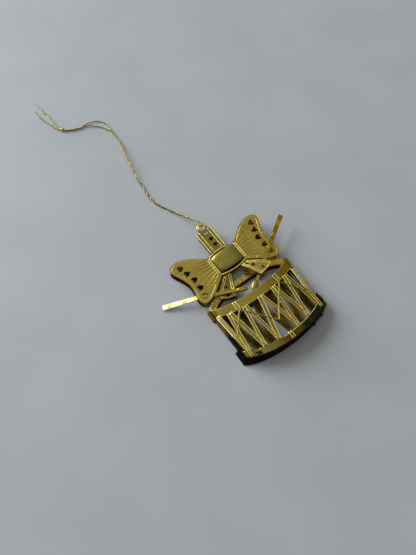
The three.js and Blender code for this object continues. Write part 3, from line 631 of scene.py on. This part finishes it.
class ORNAMENT_OT_finishes(OrnamentOperator, bpy.types.Operator):
    """Make the finishes and give them to the sheet-metal pieces"""

    bl_idname = "ornament.finishes"
    bl_label = "Finishes"

    def execute(self, context):
        s = context.scene.ornament_finishes
        satin, edge, deep, back = s.roughness, s.cut_edge, s.deep_gold, s.back_gold

        # Tints, mostly painted reflection, highlight and shade: each one's colour, the axis it comes in along, and
        # where it starts and is full, in the part's frame
        # The drum front and its ropes turn warm brown towards the right and olive towards the left: painted
        # reflection of the front's bowed sides
        right_reflection = (s.warm_gold, "X", -1.0, 17.0)
        left = (shaded(s.olive_reflection, 0.85), "X", -5.0, -17.0)
        # The left handle's pale gold is a painted highlight
        pale = (s.handle_highlight_gold, "X", -20.0, -25.0)
        # The right handle's warm bands and orange band are painted reflection
        right_handle_reflection = [(s.warm_gold, "X", 12.0, 26.0), (s.orange, "X", 30.6, 31.6), (s.warm_gold, "X", 33.2, 34.0)]
        # The knot's left is darkened: painted shade over its highlight
        knot_left_shade = (shaded(s.olive_reflection, 0.45), "X", 0.0, -5.0)
        # The lower hoop's brown middle and green right: painted reflection
        hoop_reflection = [(s.brown_gold, "X", -12.0, 2.0), (s.green_reflection, "X", 3.0, 11.0)]
        # The back layer darkens towards the left and turns maroon under the bow: painted shade
        behind = [(shaded(back, 0.5), "X", 6.0, -8.0), (s.maroon_shade, "Y", 6.5, 8.0)]

        # Raised lines get a bright, rough gold: a painted highlight all along them
        plated("highlight_line_gold", s.line_highlight_gold, 0.5, dents=0.3, grain=0.2)
        # The rods' cream rails are painted highlights
        plated("cream_highlight_line", s.cream_highlight, 0.5, dents=0.3, grain=0.2)
        plated("soft_line", s.soft_line, 0.42, dents=0.3, grain=0.2)
        plated("gold_strip", s.strip_gold, satin, edge=edge)
        plated("gold_tail", s.tail_gold, satin, edge=edge)
        plated("gold_sheet", s.gold, satin, deep, edge)
        # The beads take a darker copy of the gold: painted shade that tones down their highlights
        plated("bead_gold_shaded", shaded(s.gold, 0.7), 0.38, shaded(deep, 0.7), dents=0.3, grain=0.3)
        # The knot's olive is painted reflection of the room
        plated("gold_dome", s.olive_reflection, 0.4, tints=[knot_left_shade], dents=0.5, grain=0.5)
        plated("stick_left", s.gold, satin * 0.8, deep, edge, [pale], dents=0.4)
        plated("stick_right", s.gold, satin, deep, edge, right_handle_reflection, dents=0.4)
        plated("gold_front", shaded(s.gold, 0.78), satin, edge=edge, tints=[left, right_reflection], under=s.shade)
        plated("gold_rope", s.rope_gold, satin, edge=s.ground, tints=[right_reflection], grain=0.3, under=s.shade)
        plated("swag_olive", s.swag_gold, 0.35, shaded(s.swag_gold, 1.3), dents=0.3, grain=0.3)
        # The lower hoop's olive base is painted reflection too
        plated("gold_hoop", s.olive_reflection, satin, edge=edge, tints=hoop_reflection)
        plated("back_mirror", back, 0.27, shaded(back, 0.8), edge, behind, dents=0.15, under=back)
        # The rim's inner wall is maroon, painted shade, turning brown towards its right end
        plated("maroon_shade_wall", s.maroon_shade, 0.3, tints=[(s.brown_gold, "X", 15.5, 20.0)])
        # The side walls are brown at the top, painted reflection, and dark lower down
        plated("brown_wall", s.dark, 0.5, tints=[(s.wall_top_reflection, "Y", -18.5, -13.0)], lacquer=1.0)
        # The lower wall's right side turns green: painted reflection
        plated("dark_wall", s.dark, 0.5, tints=[(s.green_reflection, "X", 6.0, 22.0)], lacquer=1.0)
        for node, name in WORN.items():
            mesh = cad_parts[node].data
            mesh.materials.clear()
            mesh.materials.append(finish(name))
        return {"FINISHED"}


# The thread's path, from the loop through the tab's hole to the two cut ends
HOLE = (0.3, 20.85, 4.3)
EYE_LOOP = [
    (1.35, 24.1, 4.5), (1.25, 22.9, 5.0), (0.7, 21.6, 4.95), HOLE, (0.7, 21.6, 3.6), (1.25, 22.9, 3.5),
    (1.3, 24.0, 3.8),
]
DOUBLED = [
    (1.15, 24.6, 3.95), (0.2, 26.8, 3.2), (-2.6, 34.0, 1.4), (-5.5, 40.4, 0.6), (-8.2, 46.1, 0.5),
    (-9.1, 49.6, 0.5), (-9.3, 54.3, 0.5), (-8.6, 59.4, 0.8), (-8.2, 65.6, 1.5), (-7.0, 70.9, 1.8),
    (-5.8, 77.3, 1.8), (-3.9, 84.9, 1.5), (-2.9, 90.3, 1.0), (-2.3, 96.1, 0.6), (-2.3, 100.4, 0.5),
]
STRANDS = [[
    (-1.95, 101.2, 0.5), (-1.8, 105.8, 0.5), (-2.6, 108.3, 0.5), (-4.8, 111.1, 0.5), (-8.3, 112.5, 0.5),
    (-11.7, 112.7, 0.5),
], [
    (-2.75, 101.2, 0.5), (-3.5, 103.0, 0.5), (-5.2, 106.2, 0.5), (-7.9, 109.0, 0.5), (-10.1, 110.8, 0.5),
    (-11.8, 111.8, 0.5),
]]
REJOINED = [(-12.7, 112.2, 0.5), (-14.8, 112.3, 0.5), (-17.4, 113.3, 0.5), (-20.0, 114.3, 0.5), (-22.1, 115.8, 0.6)]
THREAD_KNOT = (-23.1, 116.8, 0.9)
UPPER_END = [
    (-23.4, 118.1, 0.6), (-24.0, 120.6, 0.5), (-24.8, 125.3, 0.5), (-24.8, 131.7, 0.5), (-25.6, 133.2, 0.5),
    (-25.7, 137.7, 0.5), (-26.3, 141.8, 0.5),
]
LOWER_END = [
    (-24.2, 117.7, 0.6), (-25.4, 119.8, 0.5), (-27.4, 126.1, 0.5), (-28.7, 131.0, 0.5), (-29.2, 135.4, 0.5),
    (-29.0, 136.9, 0.5),
]

# Points for each stretch of the path, and the foil's turns in a millimetre
STRETCH = 40
YARN_TURNS = 0.9


class ORNAMENT_OT_thread(OrnamentOperator, bpy.types.Operator):
    """Lay the doubled metallic thread from the tab's hole to its knot and its two cut ends"""

    bl_idname = "ornament.thread"
    bl_label = "Hanging thread"

    def execute(self, context):
        colours, sizes = context.scene.ornament_finishes, context.scene.ornament_sizes
        strand = mm(sizes.strand)
        yarn("thread_yarn", colours.thread_bright, colours.thread_dark, YARN_TURNS)

        # Where the two strands lie together they wind round each other: each is the middle path plus or minus a
        # circle of half a strand, turned once for each pitch along
        trunks = [through([*DOUBLED, *strand_path, *REJOINED, THREAD_KNOT], STRETCH) for strand_path in STRANDS]
        middle = (trunks[0] + trunks[1]) / 2
        parted = np.linalg.norm(trunks[0] - trunks[1], axis=1)
        twist = 0.5 * strand * np.clip(1 - parted / strand, 0, 1)[:, None]
        turn = (distances(middle) * 2 * np.pi / mm(sizes.twist_pitch))[:, None]
        slope = unit(np.gradient(middle, axis=0))
        across = unit(np.cross(np.array([0, 0, 1.0]), slope))
        wind = twist * (np.cos(turn) * across + np.sin(turn) * np.cross(slope, across))
        first, second = trunks[0] + wind, trunks[1] - wind
        ends = [curve([THREAD_KNOT, *points], 200) for points in (UPPER_END, LOWER_END)]
        eye = curve([first[STRETCH], first[16], *EYE_LOOP, second[16], second[STRETCH]], 120)
        whole = np.concatenate([
            ends[0][:0:-1], first[:STRETCH:-1], eye, second[STRETCH + 1:], ends[1][1:],
        ])
        whole[:, 2] = np.maximum(whole[:, 2], strand / 2)
        thread = piece("hanging_thread", [tube(evenly(whole, 1900), strand / 2)], "thread_yarn")

        # The knot is a trefoil: the sine of t plus twice the sine of 2t, the cosine of t less twice the cosine
        # of 2t, and in height less 1.1 times the sine of 3t, all at 0.23 of that size
        t = np.linspace(0, 2 * np.pi, 90, endpoint=False)
        trefoil = np.stack([
            np.sin(t) + 2 * np.sin(2 * t), np.cos(t) - 2 * np.cos(2 * t), -1.1 * np.sin(3 * t),
        ], 1) * 0.23 + np.array(THREAD_KNOT)
        rings, _, lay = tube(np.concatenate([trefoil, trefoil[:1]]), strand * 0.62)
        quads = grid_faces(len(trefoil), TUBE_SIDES, path_closed=True)
        loop = (rings[:-TUBE_SIDES], [quads], lay[:-TUBE_SIDES])
        knot = piece("thread_knot_tie", [loop], "thread_yarn")

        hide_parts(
            "thread_eye_loop", "thread_doubled", "thread_strand_upper", "thread_strand_lower",
            "thread_rejoined", "thread_end_upper", "thread_end_lower",
        )
        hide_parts("thread_knot")
        return {"FINISHED"}


class ORNAMENT_OT_bow_knot(OrnamentOperator, bpy.types.Operator):
    """Make the knot's smooth dome, which stands for the plain strap"""

    bl_idname = "ornament.bow_knot"
    bl_label = "Bow knot"

    def execute(self, context):
        # The dome's plan is 13 wide, and its half length is 4.15 plus 0.65 times one less the square of the share.
        # Its height is 5.45 plus 0.7 times one less the cube of the share across, less half the sixth power of
        # the share along and half the eighth power of the share across.
        half = 6.5
        rows, columns = (np.sin(np.linspace(-np.pi / 2, np.pi / 2, count)) for count in (41, 25))
        share, along = np.meshgrid(rows, columns, indexing="ij")
        plan = np.stack([share * half, along * (4.15 + 0.65 * (1 - share ** 2))], -1)
        crown = 5.45 + 0.7 * (1 - np.abs(share) ** 3) - 0.5 * along ** 6 - 0.5 * share ** 8
        dome = between(raised(plan, crown), raised(plan * [0.94, 0.97], crown - SHEET))

        # Each leg is a plain block from the back layer up into the dome
        legs = []
        for side in (-1, 1):
            foot = np.array([(6.48, -4.35), (6.48, 4.35), (6.05, 4.35), (6.05, -4.35)]) * [side, 1]
            legs.append(closed(np.stack([raised(foot, np.full(4, height)) for height in (SHEET, 4.75)])))
        knot = piece("knot_dome", [dome, *legs], "gold_dome")
        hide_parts("bow_knot")
        return {"FINISHED"}


# The pleats of the right wing: how far up each starts, its length and its angle
PLEATS = [
    (4.2, 6.5, 0.50), (3.3, 9.5, 0.36), (2.2, 8.0, 0.22), (1.0, 10.5, 0.08), (-0.3, 9.0, -0.08),
    (-1.6, 10.0, -0.22), (-2.8, 8.5, -0.36), (-4.0, 7.0, -0.50),
]


class ORNAMENT_OT_bow_lines(OrnamentOperator, bpy.types.Operator):
    """Lay the raised lines of the bow: the rim lines, the pleats and the frame of the knot"""

    bl_idname = "ornament.bow_lines"
    bl_label = "Bow lines"

    def execute(self, context):
        surface = flat(BOW_TOP)
        thin, faint, bold, soft = profiles(context, (0.8, 0.6), (0.9, 0.3), (0.85, 1.0), (0.9, 0.5))
        lines, pleats, pleat_shades = [], [], []
        for side in (-1, 1):
            inside = beside(wing_edge(side), side * -1.0)
            pleats.append(laid(curve(inside[2:-2:3], 150), faint, surface))
            for start, reach, angle in PLEATS:
                root = np.array([7.9, start])
                tip = root + reach * np.array([np.cos(angle), np.sin(angle)])
                pleat = line(root, tip) * np.array([side, 1.0])
                fade = np.linspace(1.0, 0.15, len(pleat))
                pleats.append(laid(pleat, soft, surface, fade))
                # Beside each pleat lies a dark line: painted shade of a groove
                pleat_shades.append(laid(beside(pleat, 0.45), bead_profile(0.36, 0.03), surface, fade, lift=0.01))
            for x, reach in ((7.15, 4.6), (8.15, 4.1)):
                lines.append(laid(line((side * x, -reach), (side * x, reach)), bold, surface))

        # The frame's ends bow out by 1.1 times one less the square of the share across
        x = np.linspace(-6.6, 6.6, 31)
        for end in (-1, 1):
            arch = 4.95 + 1.1 * (1 - (x / 7.6) ** 2)
            lines.append(laid(np.stack([x, end * arch], 1), thin, surface))
        piece("bow_lines", lines, "highlight_line_gold")
        piece("bow_pleats", pleats, "soft_line")
        piece("bow_pleat_shades", pleat_shades, "swag_olive")
        return {"FINISHED"}


class ORNAMENT_OT_strip_rails(OrnamentOperator, bpy.types.Operator):
    """Lay the rails of the hanging strip and the ring round the tab's hole"""

    bl_idname = "ornament.strip_rails"
    bl_label = "Strip rails"

    def execute(self, context):
        surface = flat(STRIP_TOP)
        outer, inner, ring_line = profiles(context, (1.0, 1.0), (0.7, 1.0), (0.8, 0.9))
        rails = []
        for x, profile in ((-4.2, outer), (-2.6, inner), (2.2, inner), (3.8, outer)):
            rails.append(laid(line((x, 6.5), (x, 18.5)), profile, surface))
        for radius, turn in (
            (1.42, np.linspace(0, 2 * np.pi, 49)), (2.1, np.linspace(-0.15, np.pi + 0.15, 33)),
        ):
            ring = np.stack([0.2 + radius * np.cos(turn), 20.7 + radius * np.sin(turn)], 1)
            rails.append(laid(ring, ring_line, surface))
        piece("strip_rails", rails, "highlight_line_gold")
        return {"FINISHED"}


# Each ribbon tail's outer edge, inner edge and end, its top, and the side its rails lie on
TAILS = (
    ([(-6.6, -6.4), (-12.2, -10.9), (-14.1, -13.5)], [(-3.3, -7.0), (-7.6, -16.6)],
     [(-13.9, -13.9), (-11.0, -15.4), (-7.6, -16.5)], left_tail_top, 1),
    ([(6.3, -6.5), (12.7, -11.4), (14.7, -14.1)], [(3.2, -7.0), (7.3, -16.0)],
     [(14.6, -14.0), (11.0, -15.2), (7.4, -15.9)], right_tail_top, -1),
)


class ORNAMENT_OT_tail_rails(OrnamentOperator, bpy.types.Operator):
    """Lay the double rails along the ribbon tails"""

    bl_idname = "ornament.tail_rails"
    bl_label = "Ribbon tail rails"

    def execute(self, context):
        [profile] = profiles(context, (0.75, 0.9))
        rails = []
        for outer, inner, end, top, turn in TAILS:
            for offset in (0.15, 1.0):
                rails.append(laid(beside(line(*outer), turn * offset), profile, top))
                rails.append(laid(beside(line(*inner), -turn * offset), profile, top))
            rails.append(laid(line(*end), profile, top))
        piece("tail_rails", rails, "highlight_line_gold")
        return {"FINISHED"}


# Each drumstick's handle end, bend and tip, its bead's width and its top
STICKS = (
    ((-37.7, -1.0), (-22.6, -7.2), (-1.5, -17.6), 2.3, left_stick_top),
    ((34.3, 2.3), (14.2, -10.4), (-0.3, -19.9), 3.0, right_stick_top),
)


class ORNAMENT_OT_drumsticks(OrnamentOperator, bpy.types.Operator):
    """Round the drumsticks' beads and lay the ring marks on their handles"""

    bl_idname = "ornament.drumsticks"
    bl_label = "Drumsticks"

    def execute(self, context):
        # A bead is an oval 5.2 long in plan. Its swell is 0.42 times the root of one less the square of the
        # share along, times the root of one less the square of the share across.
        beads, marks = [], []
        [profile] = profiles(context, (0.9, 0.7))
        u, turn = np.meshgrid(np.linspace(-1, 1, 25), np.linspace(-1, 1, 15), indexing="ij")
        oval = np.sqrt(np.maximum(0, 1 - u ** 2))
        swell = 0.42 * oval * (1 - turn ** 2) ** 0.5
        for end, bend, tip, width, top in STICKS:
            end, bend, tip = (np.array(p) for p in (end, bend, tip))
            along, handle = unit(tip - bend), unit(end - bend)
            across, square = (np.array([-way[1], way[0]]) for way in (along, handle))
            half = (oval * 0.97 + 0.02) * width / 2
            plan = tip - along * 2.7 + u[..., None] * along * 2.6 + (turn * half)[..., None] * across
            sheet = top(plan[..., 0], plan[..., 1])
            beads.append(between(raised(plan, sheet + swell), raised(plan, sheet - SINK)))
            for place in (5.6, 6.6, 12.4, 13.4):
                middle = bend + handle * place
                mark = line(middle - square * 0.95, middle + square * 0.95, step=0.3)
                marks.append(laid(mark, profile, top))
        piece("stick_beads", beads, "bead_gold_shaded")
        piece("stick_marks", marks, "soft_line")
        return {"FINISHED"}


class ORNAMENT_OT_drumhead_rim(OrnamentOperator, bpy.types.Operator):
    """Give the drumhead's rim a smooth skin with edge lines and ring marks, and an inner wall of painted maroon
    shade
    """

    bl_idname = "ornament.drumhead_rim"
    bl_label = "Drumhead rim"

    def execute(self, context):
        def place(u, v):
            """The rim in plan: an oval whose halves grow with v, squarer than an ellipse by its fullness."""
            half, rise = 20.0 + 3.2 * v, 7.2 + 3.0 * v
            x, y = np.cos(u), np.sin(u)
            power = 2 / RIM_FULLNESS
            return np.stack([half * np.sign(x) * np.abs(x) ** power, -20.0 + rise * np.abs(y) ** power], -1)
        reach = np.linspace(0.36, np.pi - 0.36, 80)
        skin = plate(reach, np.linspace(0.03, 0.97, 9), place, rim_top, 0.08)
        thin, bold = profiles(context, (0.6, 0.7), (1.0, 1.1))
        edges = [laid(place(reach, v), thin, rim_top, lift=0.06) for v in (0.1, 0.9)]
        lines = []
        mark = np.arccos((14 / 21.6) ** 1.2)
        for middle in (np.pi - mark, np.pi / 2, mark):
            for shift in (-0.035, 0.035):
                path = place(np.full(9, middle + shift), np.linspace(0.02, 0.98, 9))
                lines.append(laid(path, bold, rim_top, lift=0.05))
        piece("rim_skin", [skin], "gold_sheet")
        piece("rim_lines", lines, "highlight_line_gold")
        piece("rim_edges", edges, "soft_line")

        # The inner wall falls evenly from the rim's underside to the back layer, and leans in as it falls
        turn, fall = np.meshgrid(reach, np.linspace(0, 1, 7), indexing="ij")
        plan = place(turn, -0.02 - 0.26 * fall)
        foot, edge = SHEET + 0.02, rim_top(plan[..., 0], plan[..., 1]) - SHEET
        outside = raised(plan, edge + (foot - edge) * fall)
        # The wall stands partly for the rim's real inner wall and partly for the shaded gap under it; its dark
        # maroon is painted shade
        piece("rim_wall", [between(outside, outside + [0, 0.12, -0.01])], "maroon_shade_wall")
        return {"FINISHED"}


# The swag's anchors on the top hoop: where each line starts above and ends below
TICKS = ((-12.1, -12.1), (-10.75, -10.7), (10.6, 11.2), (12.1, 12.5))


class ORNAMENT_OT_top_hoop(OrnamentOperator, bpy.types.Operator):
    """Give the drum's top hoop a smooth skin with edge lines and the two anchors of the swag"""

    bl_idname = "ornament.top_hoop"
    bl_label = "Top hoop"

    def execute(self, context):
        place = hoop_place(BAND)
        x = np.linspace(*DRUM_ENDS, 90)
        skin = plate(x, np.linspace(0.01, 0.99, 13), place, front_top, 0.05)
        thin, bold = profiles(context, (0.5, 0.5), (0.95, 1.0))
        edges = [laid(place(x[1:-1], v), thin, front_top, lift=0.03) for v in (0.05, 0.95)]
        lines = []
        for head, foot in TICKS:
            path = line((head, hoop_line(BAND, head, 1, -0.1)), (foot, hoop_line(BAND, foot, 0, 0.1)))
            lines.append(laid(path, bold, front_top, lift=0.05))
        piece("top_hoop_skin", [skin], "gold_front")
        piece("top_hoop_lines", lines, "highlight_line_gold")
        piece("top_hoop_edges", edges, "soft_line")
        return {"FINISHED"}


# The ropes' peaks under the top hoop and feet on the lower hoop, and the ropes wider than the rest
PEAKS = [-16, -8.6, 0, 7.3, 15.5]
FEET = [-19.2, -12.5, -6, 4.8, 11.3, 18.7]
ROPE_WIDTH = 1.65
WIDE_ROPES = {(-16, -12.5): 1.9, (0, -6): 2.0}

# Each side rod's head, knee and foot, and how far below its head its rails start
RODS = ((-20.7, (-20.05, -32.4), -19.4, 1.0), (21.15, (20.1, -33), 19.5, 1.6))

SWAGS = [
    [(-11.2, -23.8), (-9.4, -26.4), (-5.7, -31.4), (-2.1, -36.2), (-0.3, -37.9), (1.6, -35.4),
     (5.7, -30.6), (9.4, -26.4), (11.2, -23.9)],
    [(-11.4, -23.8), (-14.3, -26.9), (-18.6, -31.9), (-19.9, -32.4), (-21.4, -31.2)],
    [(11.3, -23.8), (14.3, -28), (17.5, -33), (19.6, -33.6), (21.9, -31)],
]


class ORNAMENT_OT_ropes(OrnamentOperator, bpy.types.Operator):
    """Lay the zigzag ropes, the side rods and the swag cord on the drum front"""

    bl_idname = "ornament.ropes"
    bl_label = "Ropes, rods and swag"

    def execute(self, context):
        rail, wide_rail = profiles(context, (0.6, 0.9), (1.0, 1.0))
        ropes, rails, rod_highlights = [], [], []
        for k, peak in enumerate(PEAKS):
            for foot in FEET[k:k + 2]:
                top = peak + np.sign(foot - peak) * 0.5
                path = line((top, hoop_line(BAND, top, 0, 0.3)), (foot, hoop_line(HOOP, foot, 1, -0.2)))
                width = WIDE_ROPES.get((peak, foot), ROPE_WIDTH)
                ropes.append(laid(path, flat_profile(width, 0.09), front_top, lift=0.01, deep=0.4))
                for side in (-1, 1):
                    offset = side * (width / 2 - 0.2)
                    rails.append(laid(beside(path, offset), rail, front_top, lift=0.06))
        for top, knee, foot, drop in RODS:
            head, end = (top, hoop_line(BAND, top, 0, 0.4)), (foot, hoop_line(HOOP, foot, 0, 0.3))
            ropes.append(laid(line(head, knee, end), flat_profile(2.2, 0.12), front_top, lift=0.02, deep=0.4))
            lower, upper = line(knee, end), line((top, head[1] - drop), knee)
            for path, offset in ((lower, -0.5), (lower, 0.5), (upper, 0.02), (upper, 0.72)):
                rails.append(laid(beside(path, offset), rail, front_top, lift=0.1))
            # The bright rail along each rod's upper left edge is a painted highlight
            rod_highlights.append(laid(beside(upper, -0.74), wide_rail, front_top, lift=0.1))
        piece("ropes_and_rods", ropes, "gold_rope")
        piece("rope_rails", rails, "highlight_line_gold")
        piece("rod_rails", rod_highlights, "cream_highlight_line")

        # The swag's strands show as a swell of 0.16 by the sine of the length along, one turn for each 0.9
        cords = []
        for points in SWAGS:
            path = curve(points, 16 * len(points))
            swell = 1 + 0.16 * np.sin(distances(path) * 2 * np.pi / 0.9)
            cords.append(laid(path, bead_profile(0.62, 0.16), front_top, swell, lift=0.1))
        piece("swag_cord", cords, "swag_olive")
        return {"FINISHED"}


class ORNAMENT_OT_lower_hoop(OrnamentOperator, bpy.types.Operator):
    """Give the lower hoop a smooth skin with its bright edge line, its middle bars and its slot's frame"""

    bl_idname = "ornament.lower_hoop"
    bl_label = "Lower hoop"

    def execute(self, context):
        place = hoop_place(HOOP)
        skins = []
        for start, end in ((DRUM_ENDS[0], -17.9), (-15.3, DRUM_ENDS[1])):
            x = np.linspace(start, end, max(8, int((end - start) * 2.2)))
            skins.append(plate(x, np.linspace(0.01, 0.99, 11), place, front_top, 0.05))
        thin, bold = profiles(context, (0.6, 0.7), (0.95, 1.1))
        x = np.linspace(-5.0, 20.5, 80)
        fade = np.clip(np.minimum(x - x[0], x[-1] - x) / 3.0, 0.3, 1.0)
        lines = [laid(place(x, 0.9), thin, front_top, fade, lift=0.03)]
        for bar in (-0.95, 0.35):
            path = line((bar, hoop_line(HOOP, bar, 1, 0.3)), (bar, hoop_line(HOOP, bar)))
            lines.append(laid(path, bold, front_top, lift=0.05))
        staple = line((-17.7, -43.0), (-15.7, -43.9), (-15.8, -45.7))
        frame_line = laid(staple, bead_profile(0.55, 0.14), front_top, lift=0.04)
        piece("lower_hoop_skin", skins, "gold_hoop")
        piece("lower_hoop_lines", lines, "highlight_line_gold")
        piece("lower_hoop_staple", [frame_line], "dark_wall")
        return {"FINISHED"}


# The stage, in metres from the knot: the table's half side and its drop below the part, and the lamps' places
TABLE_HALF = 3.0
TABLE_DROP = 0.00003
WINDOW_PLACE = (-0.90, 2.16, 0.87)
WINDOW_SIDE = 1.8
CEILING_PLACE = (-0.26, 0.481, 1.1791)
CEILING_WIDTH = 0.22

# The room: its direction overhead, its colours low and high, and the pale horizon that the camera sees
OVERHEAD = (-0.10, 0.45, 0.89)
ROOM_LOW = (0.26, 0.21, 0.16)
ROOM_HIGH = (0.80, 0.80, 0.76)
HORIZON = (0.80, 0.82, 0.84)


class ORNAMENT_OT_stage(OrnamentOperator, bpy.types.Operator):
    """Set the table, the room's light and the large soft window light"""

    bl_idname = "ornament.stage"
    bl_label = "Table and lights"

    def execute(self, context):
        s = context.scene.ornament_stage
        table_top("table_top", s.table)
        mesh = bpy.data.meshes.new("table")
        corners = [(x * TABLE_HALF, y * TABLE_HALF, -TABLE_DROP) for x, y in ((-1, -1), (1, -1), (1, 1), (-1, 1))]
        mesh.from_pydata(corners, [], [(0, 1, 2, 3)])
        mesh.materials.append(finish("table_top"))
        placed("table", mesh)

        # The room brightens overhead, and its horizon is pale for the camera, for glossy and for clear surfaces
        world = bpy.data.worlds.new("room")
        world.use_nodes = True
        context.scene.world = world
        tree = world.node_tree
        towards = coordinates(tree, "Generated")
        overhead = add_node(tree, "ShaderNodeVectorMath", {0: towards, 1: OVERHEAD}, operation="DOT_PRODUCT")
        room = mix(tree, ramp(tree, overhead.outputs["Value"], 0.1, 1.0), ROOM_LOW, ROOM_HIGH)
        rays = add_node(tree, "ShaderNodeLightPath").outputs
        seen = reckon(tree, "MAXIMUM", rays["Is Camera Ray"], rays["Is Glossy Ray"])
        seen = reckon(tree, "MAXIMUM", seen, rays["Is Transmission Ray"])
        low = ramp(tree, part_of(tree, towards, "Z"), 0.15, 0.4, 1.0, 0.0)
        colour = mix(tree, reckon(tree, "MULTIPLY", low, seen), room, HORIZON)
        feed(tree, tree.nodes["Background"], {"Color": colour, "Strength": s.room_light})

        aim = Vector(KNOT_PLACE)
        for name, power, shape, size, colour, place in (
            ("window", s.window_power, "SQUARE", WINDOW_SIDE, (0.94, 0.98, 1.0), WINDOW_PLACE),
            ("ceiling_lamp", s.ceiling_power, "DISK", CEILING_WIDTH, (1.0, 0.99, 0.96), CEILING_PLACE),
        ):
            light = bpy.data.lights.new(name, "AREA")
            light.energy, light.shape, light.size, light.color = power, shape, size, colour
            aimed(placed(name, light), aim + Vector(place), aim)
        context.scene.view_settings.view_transform = "Standard"
        return {"FINISHED"}


# ---- panel and registration

STEPS = [
    ORNAMENT_OT_camera, ORNAMENT_OT_thread, ORNAMENT_OT_finishes, ORNAMENT_OT_bow_knot, ORNAMENT_OT_bow_lines,
    ORNAMENT_OT_strip_rails, ORNAMENT_OT_tail_rails, ORNAMENT_OT_drumsticks, ORNAMENT_OT_drumhead_rim,
    ORNAMENT_OT_top_hoop, ORNAMENT_OT_ropes, ORNAMENT_OT_lower_hoop, ORNAMENT_OT_stage,
]
GROUPS = {
    "ornament_finishes": OrnamentFinishes, "ornament_sizes": OrnamentSizes, "ornament_stage": OrnamentStage,
}


class ORNAMENT_PT_panel(bpy.types.Panel):
    """The ornament's steps and settings in the sidebar"""

    bl_idname = "ORNAMENT_PT_panel"
    bl_label = "Drum ornament"
    bl_space_type = "VIEW_3D"
    bl_region_type = "UI"
    bl_category = "Ornament"

    def draw(self, context):
        for name, group in GROUPS.items():
            box = self.layout.box()
            for key in group.__annotations__:
                box.prop(getattr(context.scene, name), key)
        for step in STEPS:
            self.layout.operator(step.bl_idname)


CLASSES = [*GROUPS.values(), *STEPS, ORNAMENT_PT_panel]


def register():
    """Register the classes and give every scene its settings."""
    for made in CLASSES:
        bpy.utils.register_class(made)
    for name, group in GROUPS.items():
        setattr(bpy.types.Scene, name, bpy.props.PointerProperty(type=group))


def unregister():
    """Take the settings and the classes away again."""
    for name in GROUPS:
        delattr(bpy.types.Scene, name)
    for made in reversed(CLASSES):
        bpy.utils.unregister_class(made)


def main():
    """Run the steps in order."""
    register()
    for step in STEPS:
        family, call = step.bl_idname.split(".")
        getattr(getattr(bpy.ops, family), call)()


if __name__ == "__main__":
    main()
